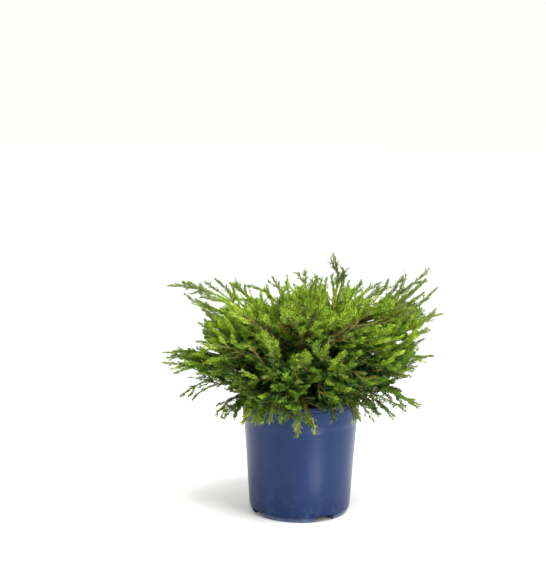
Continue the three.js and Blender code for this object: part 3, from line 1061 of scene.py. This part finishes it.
# Grows one shoot of a solid mass, cut back or left out exactly as it is there.
def solidGrower(lines):
    middles = np.array([line.middle for line in lines])

    def staysHome(points, index):
        apart = distances(points, middles)
        others = np.delete(apart, index, axis=1).min(1)
        return bool((clearOfPotAndStem(points) & (others > apart[:, index] + clear["neighbours"])).all())

    def grow(index, parent, at, spread, roll, length, pitch):
        side = lines[index].side
        for trim in growth["trims"]:
            size = length * trim
            controls = sideControls(parent, at, side, spread, roll, size)
            if staysHome(cladCorners(controls, side, whorlStations(size, pitch)), index):
                return controls, size
        return None

    return grow


# Whether points lie in the box, off the pot and the stem and out of the openings.
def fits(points):
    low, high = (np.array(corner) / mm for corner in cadBox)
    room = fine["boxRoom"]
    inBox = ((points > low + room) & (points < high - room)).all(1)
    return bool((inBox & clearOfPotAndStem(points, room=fine["potRoom"]) & clearOfSky(points)).all())


def grownFine(parent, at, spread, roll, length, lean):
    for trim in fine["trims"]:
        controls = sideControls(parent.controls, at, parent.side, spread, roll, length * trim, lean)
        if fits(curvePoints(controls, fine["tested"])):
            return controls, length * trim
    return None


# A shoot. How far along its leader or fork it stands, onAxis, counts when its tint is dealt.
def makeShoot(kind, controls, size, parent=None, at=0.0, luck=0.5, side=None, low=False):
    onAxis = 0.0
    if parent is not None:
        side = parent.side
        low = parent.low
        onAxis = at if parent.kind in ("leader", "fork") else parent.onAxis
    shoot = SimpleNamespace(kind=kind, controls=controls, size=size, luck=luck, side=side, low=low)
    shoot.start = 0.0
    shoot.bare = 0
    shoot.onAxis = onAxis
    return shoot


# Random numbers from minus the most to the most.
def swinger(random):
    return lambda most: (random() * 2 - 1) * most


# The side shoots and sprigs that the solids have.
def mainShoots(leader, index, grow):
    swing = swinger(seeded(growth["seed"] + index * growth["massStep"]))
    shoots = []
    for i in range(growth["sideShoots"]):
        share = (i + 0.5 + swing(growth["placeVaries"])) / growth["sideShoots"]
        at = lerp(bough["endsAt"], 1, lerp(growth["shootFrom"], growth["shootTo"], share))
        spread = math.radians(growth["spread"] + swing(growth["spreadVaries"]))
        roll = math.radians(i * growth["turn"] + swing(growth["turnVaries"]) + index * growth["massTurn"])
        long = lerp(growth["longest"], growth["shortest"], share) * (1 + swing(growth["lengthVaries"]))
        sprigTurn = math.radians(swing(growth["sprigTurnVaries"]))
        made = grow(index, leader.controls, at, spread, roll, long, cladding["pitch"])
        if not made:
            continue
        side = makeShoot("side", *made, leader, at)
        shoots.append(side)
        if side.size <= growth["sprigFrom"]:
            continue
        for k, place in enumerate(growth["sprigsAt"]):
            length = growth["sprigLength"] * lerp(growth["sprigFirst"], growth["sprigLast"], place)
            turn = math.pi * k + sprigTurn
            spread = math.radians(growth["sprigSpread"])
            sprig = grow(index, side.controls, place, spread, turn, length, cladding["sprigPitch"])
            if sprig:
                shoots.append(makeShoot("sprig", *sprig, leader, at))
    return shoots


# Branches that leave the nearest leader and arch to a tip of their own.
def growForks(leaders):
    ends = np.array([leader.controls[-1] for leader in leaders])
    grown = []
    for turn, reach, height, nod, light, *bare in forks:
        tip = direction(turn, 0) * reach
        tip[2] = height
        leader = leaders[int(np.linalg.norm(ends - tip, axis=1).argmin())]
        start = curvePoints(leader.controls, fine["forkAt"])[0]
        span = np.linalg.norm(tip - start)
        first = start + curveTangents(leader.controls, fine["forkAt"])[0] * span * fine["forkGrip"]
        last = tip - direction(turn, nod) * span * fine["forkGrip"]
        controls = [start, first, last, tip]
        fork = makeShoot("fork", controls, curveLength(controls), luck=light, low=height < fine["lowForks"])
        fork.side = direction(turn + 90, 0)
        fork.bare = bare[0] if bare else 0
        grown.append(fork)
    return grown


# Places along the bare stretches, seen from the front, and how far back each is.
def bareStretches(axes):
    rows = [
        curvePoints(axis.controls, np.linspace(fine["bareFrom"], axis.bare, fine["bareSteps"]))
        for axis in axes
        if axis.bare
    ]
    points = np.concatenate(rows)
    return (*seenFromFront(points), points[:, 1])


# Of all the ways to turn and shorten a branch, the one that ends up furthest from other wood.
def roomiest(axis, at, length, firstRoll, others):
    lean = fine["lowLean"] if axis.low else fine["branchLean"]
    best, bestRoom = None, 0
    for trim, spread, k in product(fine["branchTrims"], fine["branchSpreads"], range(fine["rolls"])):
        roll = firstRoll + k * 2 * math.pi / fine["rolls"]
        size = length * trim
        controls = sideControls(axis.controls, at, axis.side, math.radians(spread), roll, size, lean)
        points = curvePoints(controls, fine["branchTested"])
        if not (inCrown(points[1:]).all() and fits(points)):
            continue
        apart = np.linalg.norm(points[:, None] - others[None], axis=2).min(1)
        room = apart.mean() * trim ** fine["trimCosts"]
        if room > bestRoom:
            best, bestRoom = (controls, size), room
    return best


# Adds a branch at each slot of each axis, turned to wherever the crown has the most room left.
def fillCrown(axes, taken, random):
    swing = swinger(random)
    branches = []
    rows = [(axis, i) for i in range(max(fine["slots"].values())) for axis in axes]
    for axis, i in rows:
        count = fine["slots"][axis.kind]
        if i >= count:
            continue
        share = (i + 0.5 + swing(fine["slotVaries"])) / count
        at = lerp(fine["slotFrom"], fine["slotTo"], share)
        length = lerp(fine["branchLongest"], fine["branchShortest"], share)
        length = min(length * (1 + swing(fine["lengthVaries"])), axis.size * fine["branchShare"])
        firstRoll = random() * 2 * math.pi
        foot = curvePoints(axis.controls, at)[0]
        others = taken[np.linalg.norm(taken - foot, axis=1) > fine["ownRoom"]]
        best = roomiest(axis, at, length, firstRoll, others)
        if best:
            branch = makeShoot("side", *best, axis, at, random())
            branches.append(branch)
            taken = np.concatenate([taken, curvePoints(branch.controls, fine["branchTaken"])])
    return branches


# Short shoots to the left and right of a stretch of wood.
def shootsAlong(parent, kind, random):
    swing = swinger(random)
    longAxis = parent.kind in ("leader", "fork")
    step = fine["tinyStep"] if kind == "tiny" else fine["step"]
    first, last = (fine["from"], fine["to"]) if longAxis else (fine["branchFrom"], fine["branchTo"])
    count = int(parent.size * (last - first) / step)
    shoots = []
    for i in range(count):
        share = (i + 0.5 + swing(fine["stepVaries"])) / count
        at = lerp(first, last, share)
        if at < parent.bare:
            continue
        if kind == "tiny":
            length = fine["tinyLength"]
        else:
            apart = parent.size * (1 - fine["slimTip"] - at)
            if apart < 0:
                continue
            length = min(fine["tipLength"] + fine["growsBy"] * apart, fine["longest"])
        length *= 1 + swing(fine["lengthVaries"])
        spread = math.radians(fine["spread"] + swing(fine["spreadVaries"]))
        roll = math.pi * (i % 2) + math.radians(swing(fine["planeVaries"]))
        made = grownFine(parent, at, spread, roll, length, fine["shortLean"])
        if made:
            shoots.append(makeShoot(kind, *made, parent, at, parent.luck + swing(fine["luckVaries"])))
    return shoots


def growShoots(lines):
    random = seeded(fine["seed"])
    grow = solidGrower(lines)
    leaders = []
    for line in lines:
        luck = lerp(*fine["leaderLuck"], random())
        leader = makeShoot("leader", line.controls, curveLength(line.controls), luck=luck, side=line.side)
        leader.start = line.starts * fine["barkEnds"]
        leader.low = line.tier == "low"
        leaders.append(leader)
    axes = leaders + growForks(leaders)
    main = [shoot for index, leader in enumerate(leaders) for shoot in mainShoots(leader, index, grow)]
    along = np.linspace(*fine["takenAt"])
    taken = np.concatenate([curvePoints(shoot.controls, along) for shoot in axes + main])
    main += fillCrown(axes, taken, random)
    print(f"{len(axes)} leaders and forks, {len(main)} branches")
    short = [shoot for parent in axes + main for shoot in shootsAlong(parent, "short", random)]
    longEnough = [shoot for shoot in short if shoot.size > fine["tinyFrom"]]
    tiny = [shoot for parent in longEnough for shoot in shootsAlong(parent, "tiny", random)]
    print(f"{len(short)} short shoots, {len(tiny)} sprigs")
    return axes + main + short + tiny


# Wood. The stem and the leaders have ridged, peeling bark; the shoots are thinner and smoother.
bark = {
    "stemSides": 36,
    "stemStep": 1.0,
    "stemSunk": 1.5,
    "stemTopStep": 0.4,
    "stemTopTaper": (0.93, 0.78, 0.5),
    "stemSeed": 1.7,
    "rootLobes": 0.22,
    "lobeCount": 5,
    "lobeTurn": 0.7,
    "lobeHeight": 12,
    "leaderSides": 10,
    "leaderStep": 3.0,
    "leaderSunk": 3.2,
    "leaderFoot": (1.5, 1.2),
    "leaderTip": 0.42,
    "leaderTaper": 0.8,
    "leaderEnd": 0.99,
    "leaderSeed": 1.3,
    "ridge": 0.13,
    "ridges": ((5, 0.05, 1, 0.5), (9, -0.08, 2.3, 0.35)),  # how many, drift, phase and share
    "flakes": 0.1,
    "flakeRings": 0.9,
    "flakeWave": 3,
    "flakeWaves": 2,
    "flakeCount": 4,
    "flakeDrift": 0.21,
    "fullFrom": 1.5,  # the radius from which the relief has its full depth
    "stripScale": 320,
    "heart": (0, 0, 0.16),  # metres, like the two distances from it between which the wood turns young
    "youngFrom": 0.1,
    "youngTo": 0.155,
}
# The dark and the pale of old bark, and the yellow green of the younger wood further out.
barkTones = {
    "peelingBark": ((0.13, 0.055, 0.02), (0.34, 0.18, 0.07), (0.22, 0.24, 0.05)),
    "orangeBrownTwig": ((0.2, 0.105, 0.032), (0.38, 0.21, 0.06), (0.24, 0.24, 0.045)),
}


def barkRelief(angle, along, seed):
    b = SimpleNamespace(**bark)
    strips = sum(
        np.sin(angle * count + along * drift + seed * phase) * share
        for count, drift, phase, share in b.ridges
    )
    rings = np.sin(along * b.flakeRings + b.flakeWave * np.sin(angle * b.flakeWaves + seed))
    flakes = rings * np.sin(angle * b.flakeCount + along * b.flakeDrift + seed)
    return b.ridge * strips + b.flakes * flakes


# A limb round a row of points, closed at both ends.
def limbArrays(places, tangents, side, radii, sides, seed, lobes=None):
    level, upper = squareTo(tangents, side)
    angles = np.arange(sides) * 2 * math.pi / sides
    along = np.concatenate([[0], np.linalg.norm(np.diff(places, axis=0), axis=1).cumsum()])
    relief = barkRelief(angles[None], along[:, None], seed)
    reach = radii[:, None] * (1 + relief * np.minimum(radii[:, None] / bark["fullFrom"], 1))
    if lobes is not None:
        reach *= 1 + lobes[:, None] * np.sin(angles[None] * bark["lobeCount"] + bark["lobeTurn"])
    rings = places[:, None] + reach[..., None] * (
        level[:, None] * np.cos(angles)[None, :, None] + upper[:, None] * np.sin(angles)[None, :, None]
    )
    points = np.concatenate([places[:1], rings.reshape(-1, 3), places[-1:]])
    return points, ringFaces(len(places), sides)


def stemArrays():
    b = SimpleNamespace(**bark)
    foot, top = peat["top"] - b.stemSunk, stem["top"]
    heights = np.append(np.arange(foot, top, b.stemStep), top - b.stemTopStep)
    places = np.array([stemCentre(h) for h in heights])
    radii = np.array([stemRadius(max(h, peat["top"])) for h in heights])
    radii[-3:] *= b.stemTopTaper
    tangents = unit(np.gradient(places, axis=0))
    lobes = b.rootLobes * np.clip((peat["top"] + b.lobeHeight - heights) / b.lobeHeight, 0, 1)
    return limbArrays(places, tangents, np.array([1.0, 0, 0]), radii, b.stemSides, b.stemSeed, lobes)


# The foot of a leader runs on into the stem, so that bark meets bark.
def leaderArrays(index, line):
    b = SimpleNamespace(**bark)
    count = int(curveLength(line.controls) / b.leaderStep)
    at = np.linspace(0, b.leaderEnd, count)
    places = curvePoints(line.controls, at)
    tangents = curveTangents(line.controls, at)
    foot = places[0] - tangents[0] * b.leaderSunk
    places = np.concatenate([foot[None], places])
    tangents = np.concatenate([tangents[:1], tangents])
    radii = lerp(bough["rootRadius"], b.leaderTip, np.concatenate([[0], at]) ** b.leaderTaper)
    radii[:2] *= b.leaderFoot
    return limbArrays(places, tangents, line.side, radii, b.leaderSides, index * b.leaderSeed)


def barkFinish(name):
    dark, pale, young = barkTones[name]
    material = plainFinish(name, dark, roughness=0.8, gloss=0.25)
    tree = material.node_tree
    where = objectPlace(tree)
    strips = solidNoise(tree, where, bark["stripScale"], detail=5, roughness=0.65)
    old = colourRamp(tree, strips, [(0.3, dark), (0.7, pale)])
    away = addNode(tree, "ShaderNodeVectorMath", {0: where, 1: bark["heart"]}, operation="DISTANCE")
    age = remapped(tree, away.outputs["Value"], bark["youngFrom"], bark["youngTo"])
    tone = mixColours(tree, age, old, (*young, 1))
    tree.links.new(tone, tree.nodes["Principled BSDF"].inputs["Base Color"])
    giveRelief(tree, strips, strength=0.5, depth=0.0005)
    return material


def buildBark(lines):
    allPoints, allFaces, count = [], [], 0
    for points, faces in [stemArrays()] + [leaderArrays(i, line) for i, line in enumerate(lines)]:
        allPoints.append(points)
        allFaces += [tuple(corner + count for corner in face) for face in faces]
        count += len(points)
    mesh = meshFromArrays("barkedWood", np.concatenate(allPoints) * mm, allFaces)
    piece = linkPiece("barkedWood", mesh, barkFinish("peelingBark"))
    handOver(piece, "bark", "stem", *[node for line in lines for node in line.nodes if "bough" in node])


# Thin wood as tubes along the shoots' lines: radii at the foot and the tip, and points along each.
twig = {
    "fork": (1.5, 0.45, 14),
    "side": (0.95, 0.4, 6),
    "sprig": (0.65, 0.32, 5),
    "short": (0.55, 0.3, 3),
    "tiny": (0.4, 0.25, 2),
}
twigEnd = 0.96
twigGreen = (0.08, 0.125, 0.016)


def tubeTree():
    tree, given = startTree(
        "twigTubes",
        {
            "Geometry": "NodeSocketGeometry",
            "Sides": "NodeSocketInt",
            "Thickness": "NodeSocketFloat",
            "Finish": "NodeSocketMaterial",
        },
    )
    lines = addNode(tree, "GeometryNodeMeshToCurve", {"Mesh": given["Geometry"]})
    ring = addNode(tree, "GeometryNodeCurvePrimitiveCircle", {"Resolution": given["Sides"], "Radius": 1.0})
    size = calculate(tree, "MULTIPLY", attribute(tree, "thickness", "FLOAT"), given["Thickness"])
    tubes = addNode(
        tree,
        "GeometryNodeCurveToMesh",
        {
            "Curve": lines.outputs["Curve"],
            "Profile Curve": ring.outputs["Curve"],
            "Scale": size,
            "Fill Caps": True,
        },
    )
    smooth = addNode(tree, "GeometryNodeSetShadeSmooth", {"Geometry": tubes.outputs["Mesh"]})
    endTree(tree, smooth.outputs["Geometry"], given["Finish"])
    return tree


# The shoots of some kinds: leaders, forks, side branches, sprigs, short shoots and tiny ones on them.
def ofKind(shoots, *kinds):
    return [shoot for shoot in shoots if shoot.kind in kinds]


def buildTwigs(name, shoots, tree, material, masses, sides):
    places, edges, sizes, count = [], [], [], 0
    for shoot in shoots:
        foot, tip, points = twig[shoot.kind]
        at = np.linspace(0, twigEnd, points)
        places.append(curvePoints(shoot.controls, at))
        edges += [(count + k, count + k + 1) for k in range(points - 1)]
        sizes.append(lerp(foot, tip, at))
        count += points
    thickness = ("FLOAT", np.concatenate(sizes) * mm)
    holder = dataPoints(name, np.concatenate(places) * mm, edges, thickness=thickness)
    values = {"Sides": sides, "Thickness": 1.0, "Finish": material}
    piece = linkPiece(name, growMesh(name, holder, tree, values))
    handOver(piece, "bark", *masses)


# Needles: awls in whorls of three that stand out of the shoot and bend in towards its tip.
needle = {
    "length": 6.0,
    "width": 1.35,
    "foot": 0.3,
    "broadest": 0.4,
    "rootLean": 37,
    "tipLean": 15,
    "variants": 6,
    "aimVaries": 13,  # degrees, like the next and the twist
    "leanVaries": 9,
    "lengthVaries": 0.14,
    "twistVaries": 25,
    "pitch": 2.1,
    "placeVaries": 0.35,
    "sizeVaries": 0.1,
    "turnVaries": 0.2,  # radians
    "anyTurn": 6.28,
    "endRoom": 0.5,  # the share of a needle's length that the last whorl keeps from the tip
    "closeAtTip": 4.0,  # the last millimetres, where the needles are small and folded together
    "closing": 0.8,
    "tipSplay": 0.6,
    "tipScale": 0.82,
    "oldWoodKeeps": 0.5,
    "bareWoodKeeps": 0.1,
    "curveSteps": 49,
    "whorlFaces": 12,
    "pieceFaces": 190000,  # the most in one piece
    "seed": 5,
}
bareFoot = {"leader": 6.0, "fork": 6.0, "side": 4.0, "sprig": 2.5, "short": 1.6, "tiny": 1.0}
needleScale = {"leader": 1.0, "fork": 1.0, "side": 1.0, "sprig": 0.97, "short": 0.94, "tiny": 0.85}
oldWood = {"leader": 0.36, "fork": 0.3, "side": 0.16}  # the share of each that has lost half of its needles


# An awl of four faces: its back is towards the outside, and its two inner faces carry the pale band.
def oneNeedle(azimuth, lean, size, twist):
    n = SimpleNamespace(**needle)
    root = direction(azimuth, 0) * n.foot
    first = direction(azimuth, 90 - lean)
    second = direction(azimuth, 90 - lean * n.tipLean / n.rootLean)
    across = direction(azimuth + 90, 0)
    outward = np.cross(first, across)
    across = across * math.cos(math.radians(twist)) + outward * math.sin(math.radians(twist))
    middle = root + first * n.length * size * n.broadest
    tip = middle + second * n.length * size * (1 - n.broadest)
    left, right = middle - across * n.width / 2, middle + across * n.width / 2
    points = np.array([root, left, right, tip])
    faces = [(0, 1, 2), (3, 2, 1), (0, 3, 1), (0, 2, 3)]
    if np.cross(left - root, right - root) @ (root - points.mean(0)) < 0:
        faces = [face[::-1] for face in faces]
    return points, faces


def whorlShapes():
    n = SimpleNamespace(**needle)
    shapes = bpy.data.collections.new("whorlShapes")
    draw = np.random.default_rng(n.seed)
    vary = lambda most: draw.uniform(-most, most)
    for i in range(n.variants):
        points, faces = [], []
        for third in range(3):
            aim = third * 120 + vary(n.aimVaries)
            lean = n.rootLean + vary(n.leanVaries)
            made, own = oneNeedle(aim, lean, 1 + vary(n.lengthVaries), vary(n.twistVaries))
            faces += [tuple(corner + len(points) for corner in face) for face in own]
            points += made.tolist()
        mesh = meshFromArrays(f"whorl{i}", np.array(points) * mm, faces, smooth=False)
        band = [k % 4 > 1 for k in range(len(faces))]
        mesh.attributes.new("band", "BOOLEAN", "FACE").data.foreach_set("value", band)
        shapes.objects.link(bpy.data.objects.new(mesh.name, mesh))
    return shapes


def needleTree():
    tree, given = startTree(
        "needlesOnShoots",
        {
            "Geometry": "NodeSocketGeometry",
            "Whorls": "NodeSocketCollection",
            "Needle size": "NodeSocketFloat",
            "Green": "NodeSocketMaterial",
            "Band": "NodeSocketMaterial",
        },
    )
    axis = attribute(tree, "axis", "FLOAT_VECTOR")
    along = addNode(tree, "FunctionNodeAlignRotationToVector", {"Vector": axis}, axis="Z")
    spin = {"Axis": (0, 0, 1), "Angle": attribute(tree, "turn", "FLOAT")}
    spun = addNode(tree, "FunctionNodeAxisAngleToRotation", spin)
    both = {"Rotation": along.outputs["Rotation"], "Rotate By": spun.outputs["Rotation"]}
    turned = addNode(tree, "FunctionNodeRotateRotation", both, rotation_space="LOCAL").outputs["Rotation"]
    scale = {0: attribute(tree, "size", "FLOAT_VECTOR"), "Scale": given["Needle size"]}
    size = addNode(tree, "ShaderNodeVectorMath", scale, operation="SCALE").outputs["Vector"]
    whorls = addNode(
        tree,
        "GeometryNodeInstanceOnPoints",
        {
            "Points": given["Geometry"],
            "Instance": shapesIn(tree, given["Whorls"]),
            "Pick Instance": True,
            "Instance Index": attribute(tree, "variant", "INT"),
            "Rotation": turned,
            "Scale": size,
        },
    )
    banded = attribute(tree, "band", "BOOLEAN")
    endTree(tree, whorls.outputs["Instances"], given["Green"], banded, given["Band"])
    return tree


# Where the whorls of a shoot stand: places, directions, sizes, turns and shares of its length. Old
# and bare wood keeps few, and so do short shoots in an opening and all in front of bare bark.
def whorlsAlong(shoot, draw, bareWood):
    n = SimpleNamespace(**needle)
    at = np.linspace(shoot.start, 1, n.curveSteps)
    points = curvePoints(shoot.controls, at)
    run = np.concatenate([[0], np.linalg.norm(np.diff(points, axis=0), axis=1).cumsum()])
    bare = bareFoot[shoot.kind]
    end = run[-1] - n.length * n.endRoom
    if end <= bare:
        return None
    count = max(int((end - bare) / n.pitch), 2)
    vary = lambda most: draw.uniform(-most, most, count)
    stands = np.linspace(bare, end, count) + vary(n.placeVaries)
    share = np.interp(stands, run, at)
    openness = np.clip((end - stands) / n.closeAtTip, 0, 1) ** n.closing
    splay = lerp(n.tipSplay, 1, openness)
    scale = lerp(n.tipScale, 1, openness) * (1 + vary(n.sizeVaries))
    size = np.stack([splay, splay, np.ones(count)], 1) * (scale * needleScale[shoot.kind])[:, None]
    turn = np.arange(count) * math.pi / 3 + vary(n.turnVaries) + draw.uniform(0, n.anyTurn)
    stay = (share > oldWood.get(shoot.kind, 0)) | (draw.random(count) < n.oldWoodKeeps)
    stay &= (share > shoot.bare) | (draw.random(count) < n.bareWoodKeeps)
    places, axes = curvePoints(shoot.controls, share), curveTangents(shoot.controls, share)
    if shoot.kind in ("short", "tiny"):
        stay &= outsideOf(openings, places)
    x, z = seenFromFront(places)
    barkX, barkZ, barkY = bareWood
    near = np.hypot(x[:, None] - barkX, z[:, None] - barkZ) < fine["barkShows"]
    stay &= ~(near & (places[:, 1:2] < barkY)).any(1)
    return places[stay], axes[stay], size[stay], turn[stay], share[stay]


# Plain colours, the needle's green and its pale band, dealt out by spray: the young outer growth is
# yellow green and the old heart dark, but the dark deep and leafGreen tints inside and low in the
# crown are also painted shade, the olive tint on the outer tips is painted shade and the sunlit tint
# is a painted highlight.
tints = {
    "sunlit": ((0.29, 0.42, 0.015), (0.5, 0.63, 0.1)),
    "fresh": ((0.155, 0.285, 0.003), (0.28, 0.44, 0.032)),
    "leafGreen": ((0.06, 0.16, 0.003), (0.11, 0.235, 0.016)),
    "deep": ((0.008, 0.036, 0.004), (0.02, 0.066, 0.014)),
    "olive": ((0.095, 0.13, 0.018), (0.19, 0.245, 0.065)),
    "straw": ((0.2, 0.12, 0.022), (0.24, 0.16, 0.045)),
}
# How the tints are dealt: by how far out a spray stands, its luck, its height and its side. Lower sprays
# get darker tints as painted shade, and so do sprays further in, partly for their older needles and
# partly as painted shade; sprays to the left are lighter.
dealing = {
    "luckShare": 0.62,
    "frontShare": 0.88,
    "paintedShadeByHeight": 0.44,
    "deepBelow": 0.66,
    "leafBelow": 0.91,
    "oliveFrom": 1.03,
    "oliveTips": 0.87,
    "oliveTipsFrom": 0.72,
    "oliveLuck": 0.8,
    "straw": 0.035,
    "strawBelow": 0.75,
    "varies": 0.24,
    "sideShare": 0.1,
    "sunlit": 0.2,
    "whorls": 9,  # the fewest in a stretch of one tint
}


def dealTint(place, luck, towardsTip, chance):
    x, y, z = np.abs(place - np.array(crown["middle"]))
    tall = crown["above"] if place[2] > crown["middle"][2] else crown["below"]
    y *= dealing["frontShare"]
    outness = float(np.sqrt((x / crown["right"]) ** 2 + (y / crown["deep"]) ** 2 + (z / tall) ** 2))
    if outness < dealing["strawBelow"] and chance() < dealing["straw"]:
        return "straw"
    # The outermost sprays and the ends of forks and leaders get the dark olive tint: painted shade on tips
    # seen against the bright room.
    if outness > dealing["oliveFrom"] and luck < dealing["oliveLuck"]:
        return "olive"
    if towardsTip > dealing["oliveTips"] and outness > dealing["oliveTipsFrom"]:
        return "olive"
    # Lower sprays get darker tints, a painted shade; sprays further in too, partly for older needles and
    # partly as painted shade.
    height = (place[2] - crown["middle"][2]) / crown["above"]
    value = outness + dealing["luckShare"] * (luck - 0.5) + dealing["paintedShadeByHeight"] * height
    value += dealing["varies"] * (chance() - 0.5) - dealing["sideShare"] * place[0] / crown["left"]
    if value < dealing["deepBelow"]:
        return "deep"
    if value < dealing["leafBelow"]:
        return "leafGreen"
    # A random share of the lightest sprays get the sunlit tint: painted highlights.
    return "sunlit" if chance() < dealing["sunlit"] else "fresh"


def sortNeedles(shoots):
    bareWood = bareStretches(ofKind(shoots, "fork"))
    draw = np.random.default_rng(needle["seed"] + 1)
    chance = seeded(needle["seed"] + 2)
    groups = {name: [] for name in tints}
    for shoot in shoots:
        made = whorlsAlong(shoot, draw, bareWood)
        if made is None or not len(made[0]):
            continue
        places, axes, sizes, turns, shares = made
        stretches = max(len(places) // dealing["whorls"], 1)
        for part in np.array_split(np.arange(len(places)), stretches):
            towardsTip = shares[part].mean() if shoot.kind in ("leader", "fork") else shoot.onAxis
            tint = dealTint(places[part].mean(0), shoot.luck, towardsTip, chance)
            groups[tint].append((places[part], axes[part], sizes[part], turns[part]))
    return groups


def buildNeedles(shoots, masses):
    tree = needleTree()
    shapes = whorlShapes()
    draw = np.random.default_rng(needle["seed"] + 3)
    mostWhorls = needle["pieceFaces"] // needle["whorlFaces"]
    for tint, groups in sortNeedles(shoots).items():
        if not groups:
            continue
        places, axes, sizes, turns = (np.concatenate(rows) for rows in zip(*groups))
        green = plainFinish(tint + "Needle", tints[tint][0], roughness=0.55, gloss=0.06)
        band = plainFinish(tint + "Band", tints[tint][1], roughness=0.7, gloss=0.05)
        pieces = math.ceil(len(places) / mostWhorls)
        for k, part in enumerate(np.array_split(np.arange(len(places)), pieces)):
            name = f"{tint}Needles_{k + 1}"
            holder = dataPoints(
                name,
                places[part] * mm,
                axis=("FLOAT_VECTOR", axes[part]),
                size=("FLOAT_VECTOR", sizes[part]),
                turn=("FLOAT", turns[part]),
                variant=("INT", draw.integers(0, needle["variants"], len(part))),
            )
            values = {"Whorls": shapes, "Needle size": 1.0, "Green": green, "Band": band}
            piece = linkPiece(name, growMesh(name, holder, tree, values))
            handOver(piece, "needles", *masses)


placeCamera()
buildStudio()
buildPot()
print("pot done")
surface = buildPeat()
scatterCrumbs(surface)
print("peat done")
lines = drawLines()
masses = [node for line in lines for node in line.nodes if "foliage" in node]
buildBark(lines)
shoots = growShoots(lines)
tubes = tubeTree()
older = ofKind(shoots, "fork", "side", "sprig")
buildTwigs("olderTwigs", older, tubes, barkFinish("orangeBrownTwig"), masses, sides=5)
greenTwig = plainFinish("greenTwig", twigGreen, roughness=0.6)
buildTwigs("greenTwigs", ofKind(shoots, "short"), tubes, greenTwig, masses, sides=3)
buildTwigs("sprigTwigs", ofKind(shoots, "tiny"), tubes, greenTwig, masses, sides=3)
print("wood done")
buildNeedles(shoots, masses)
print("needles done")
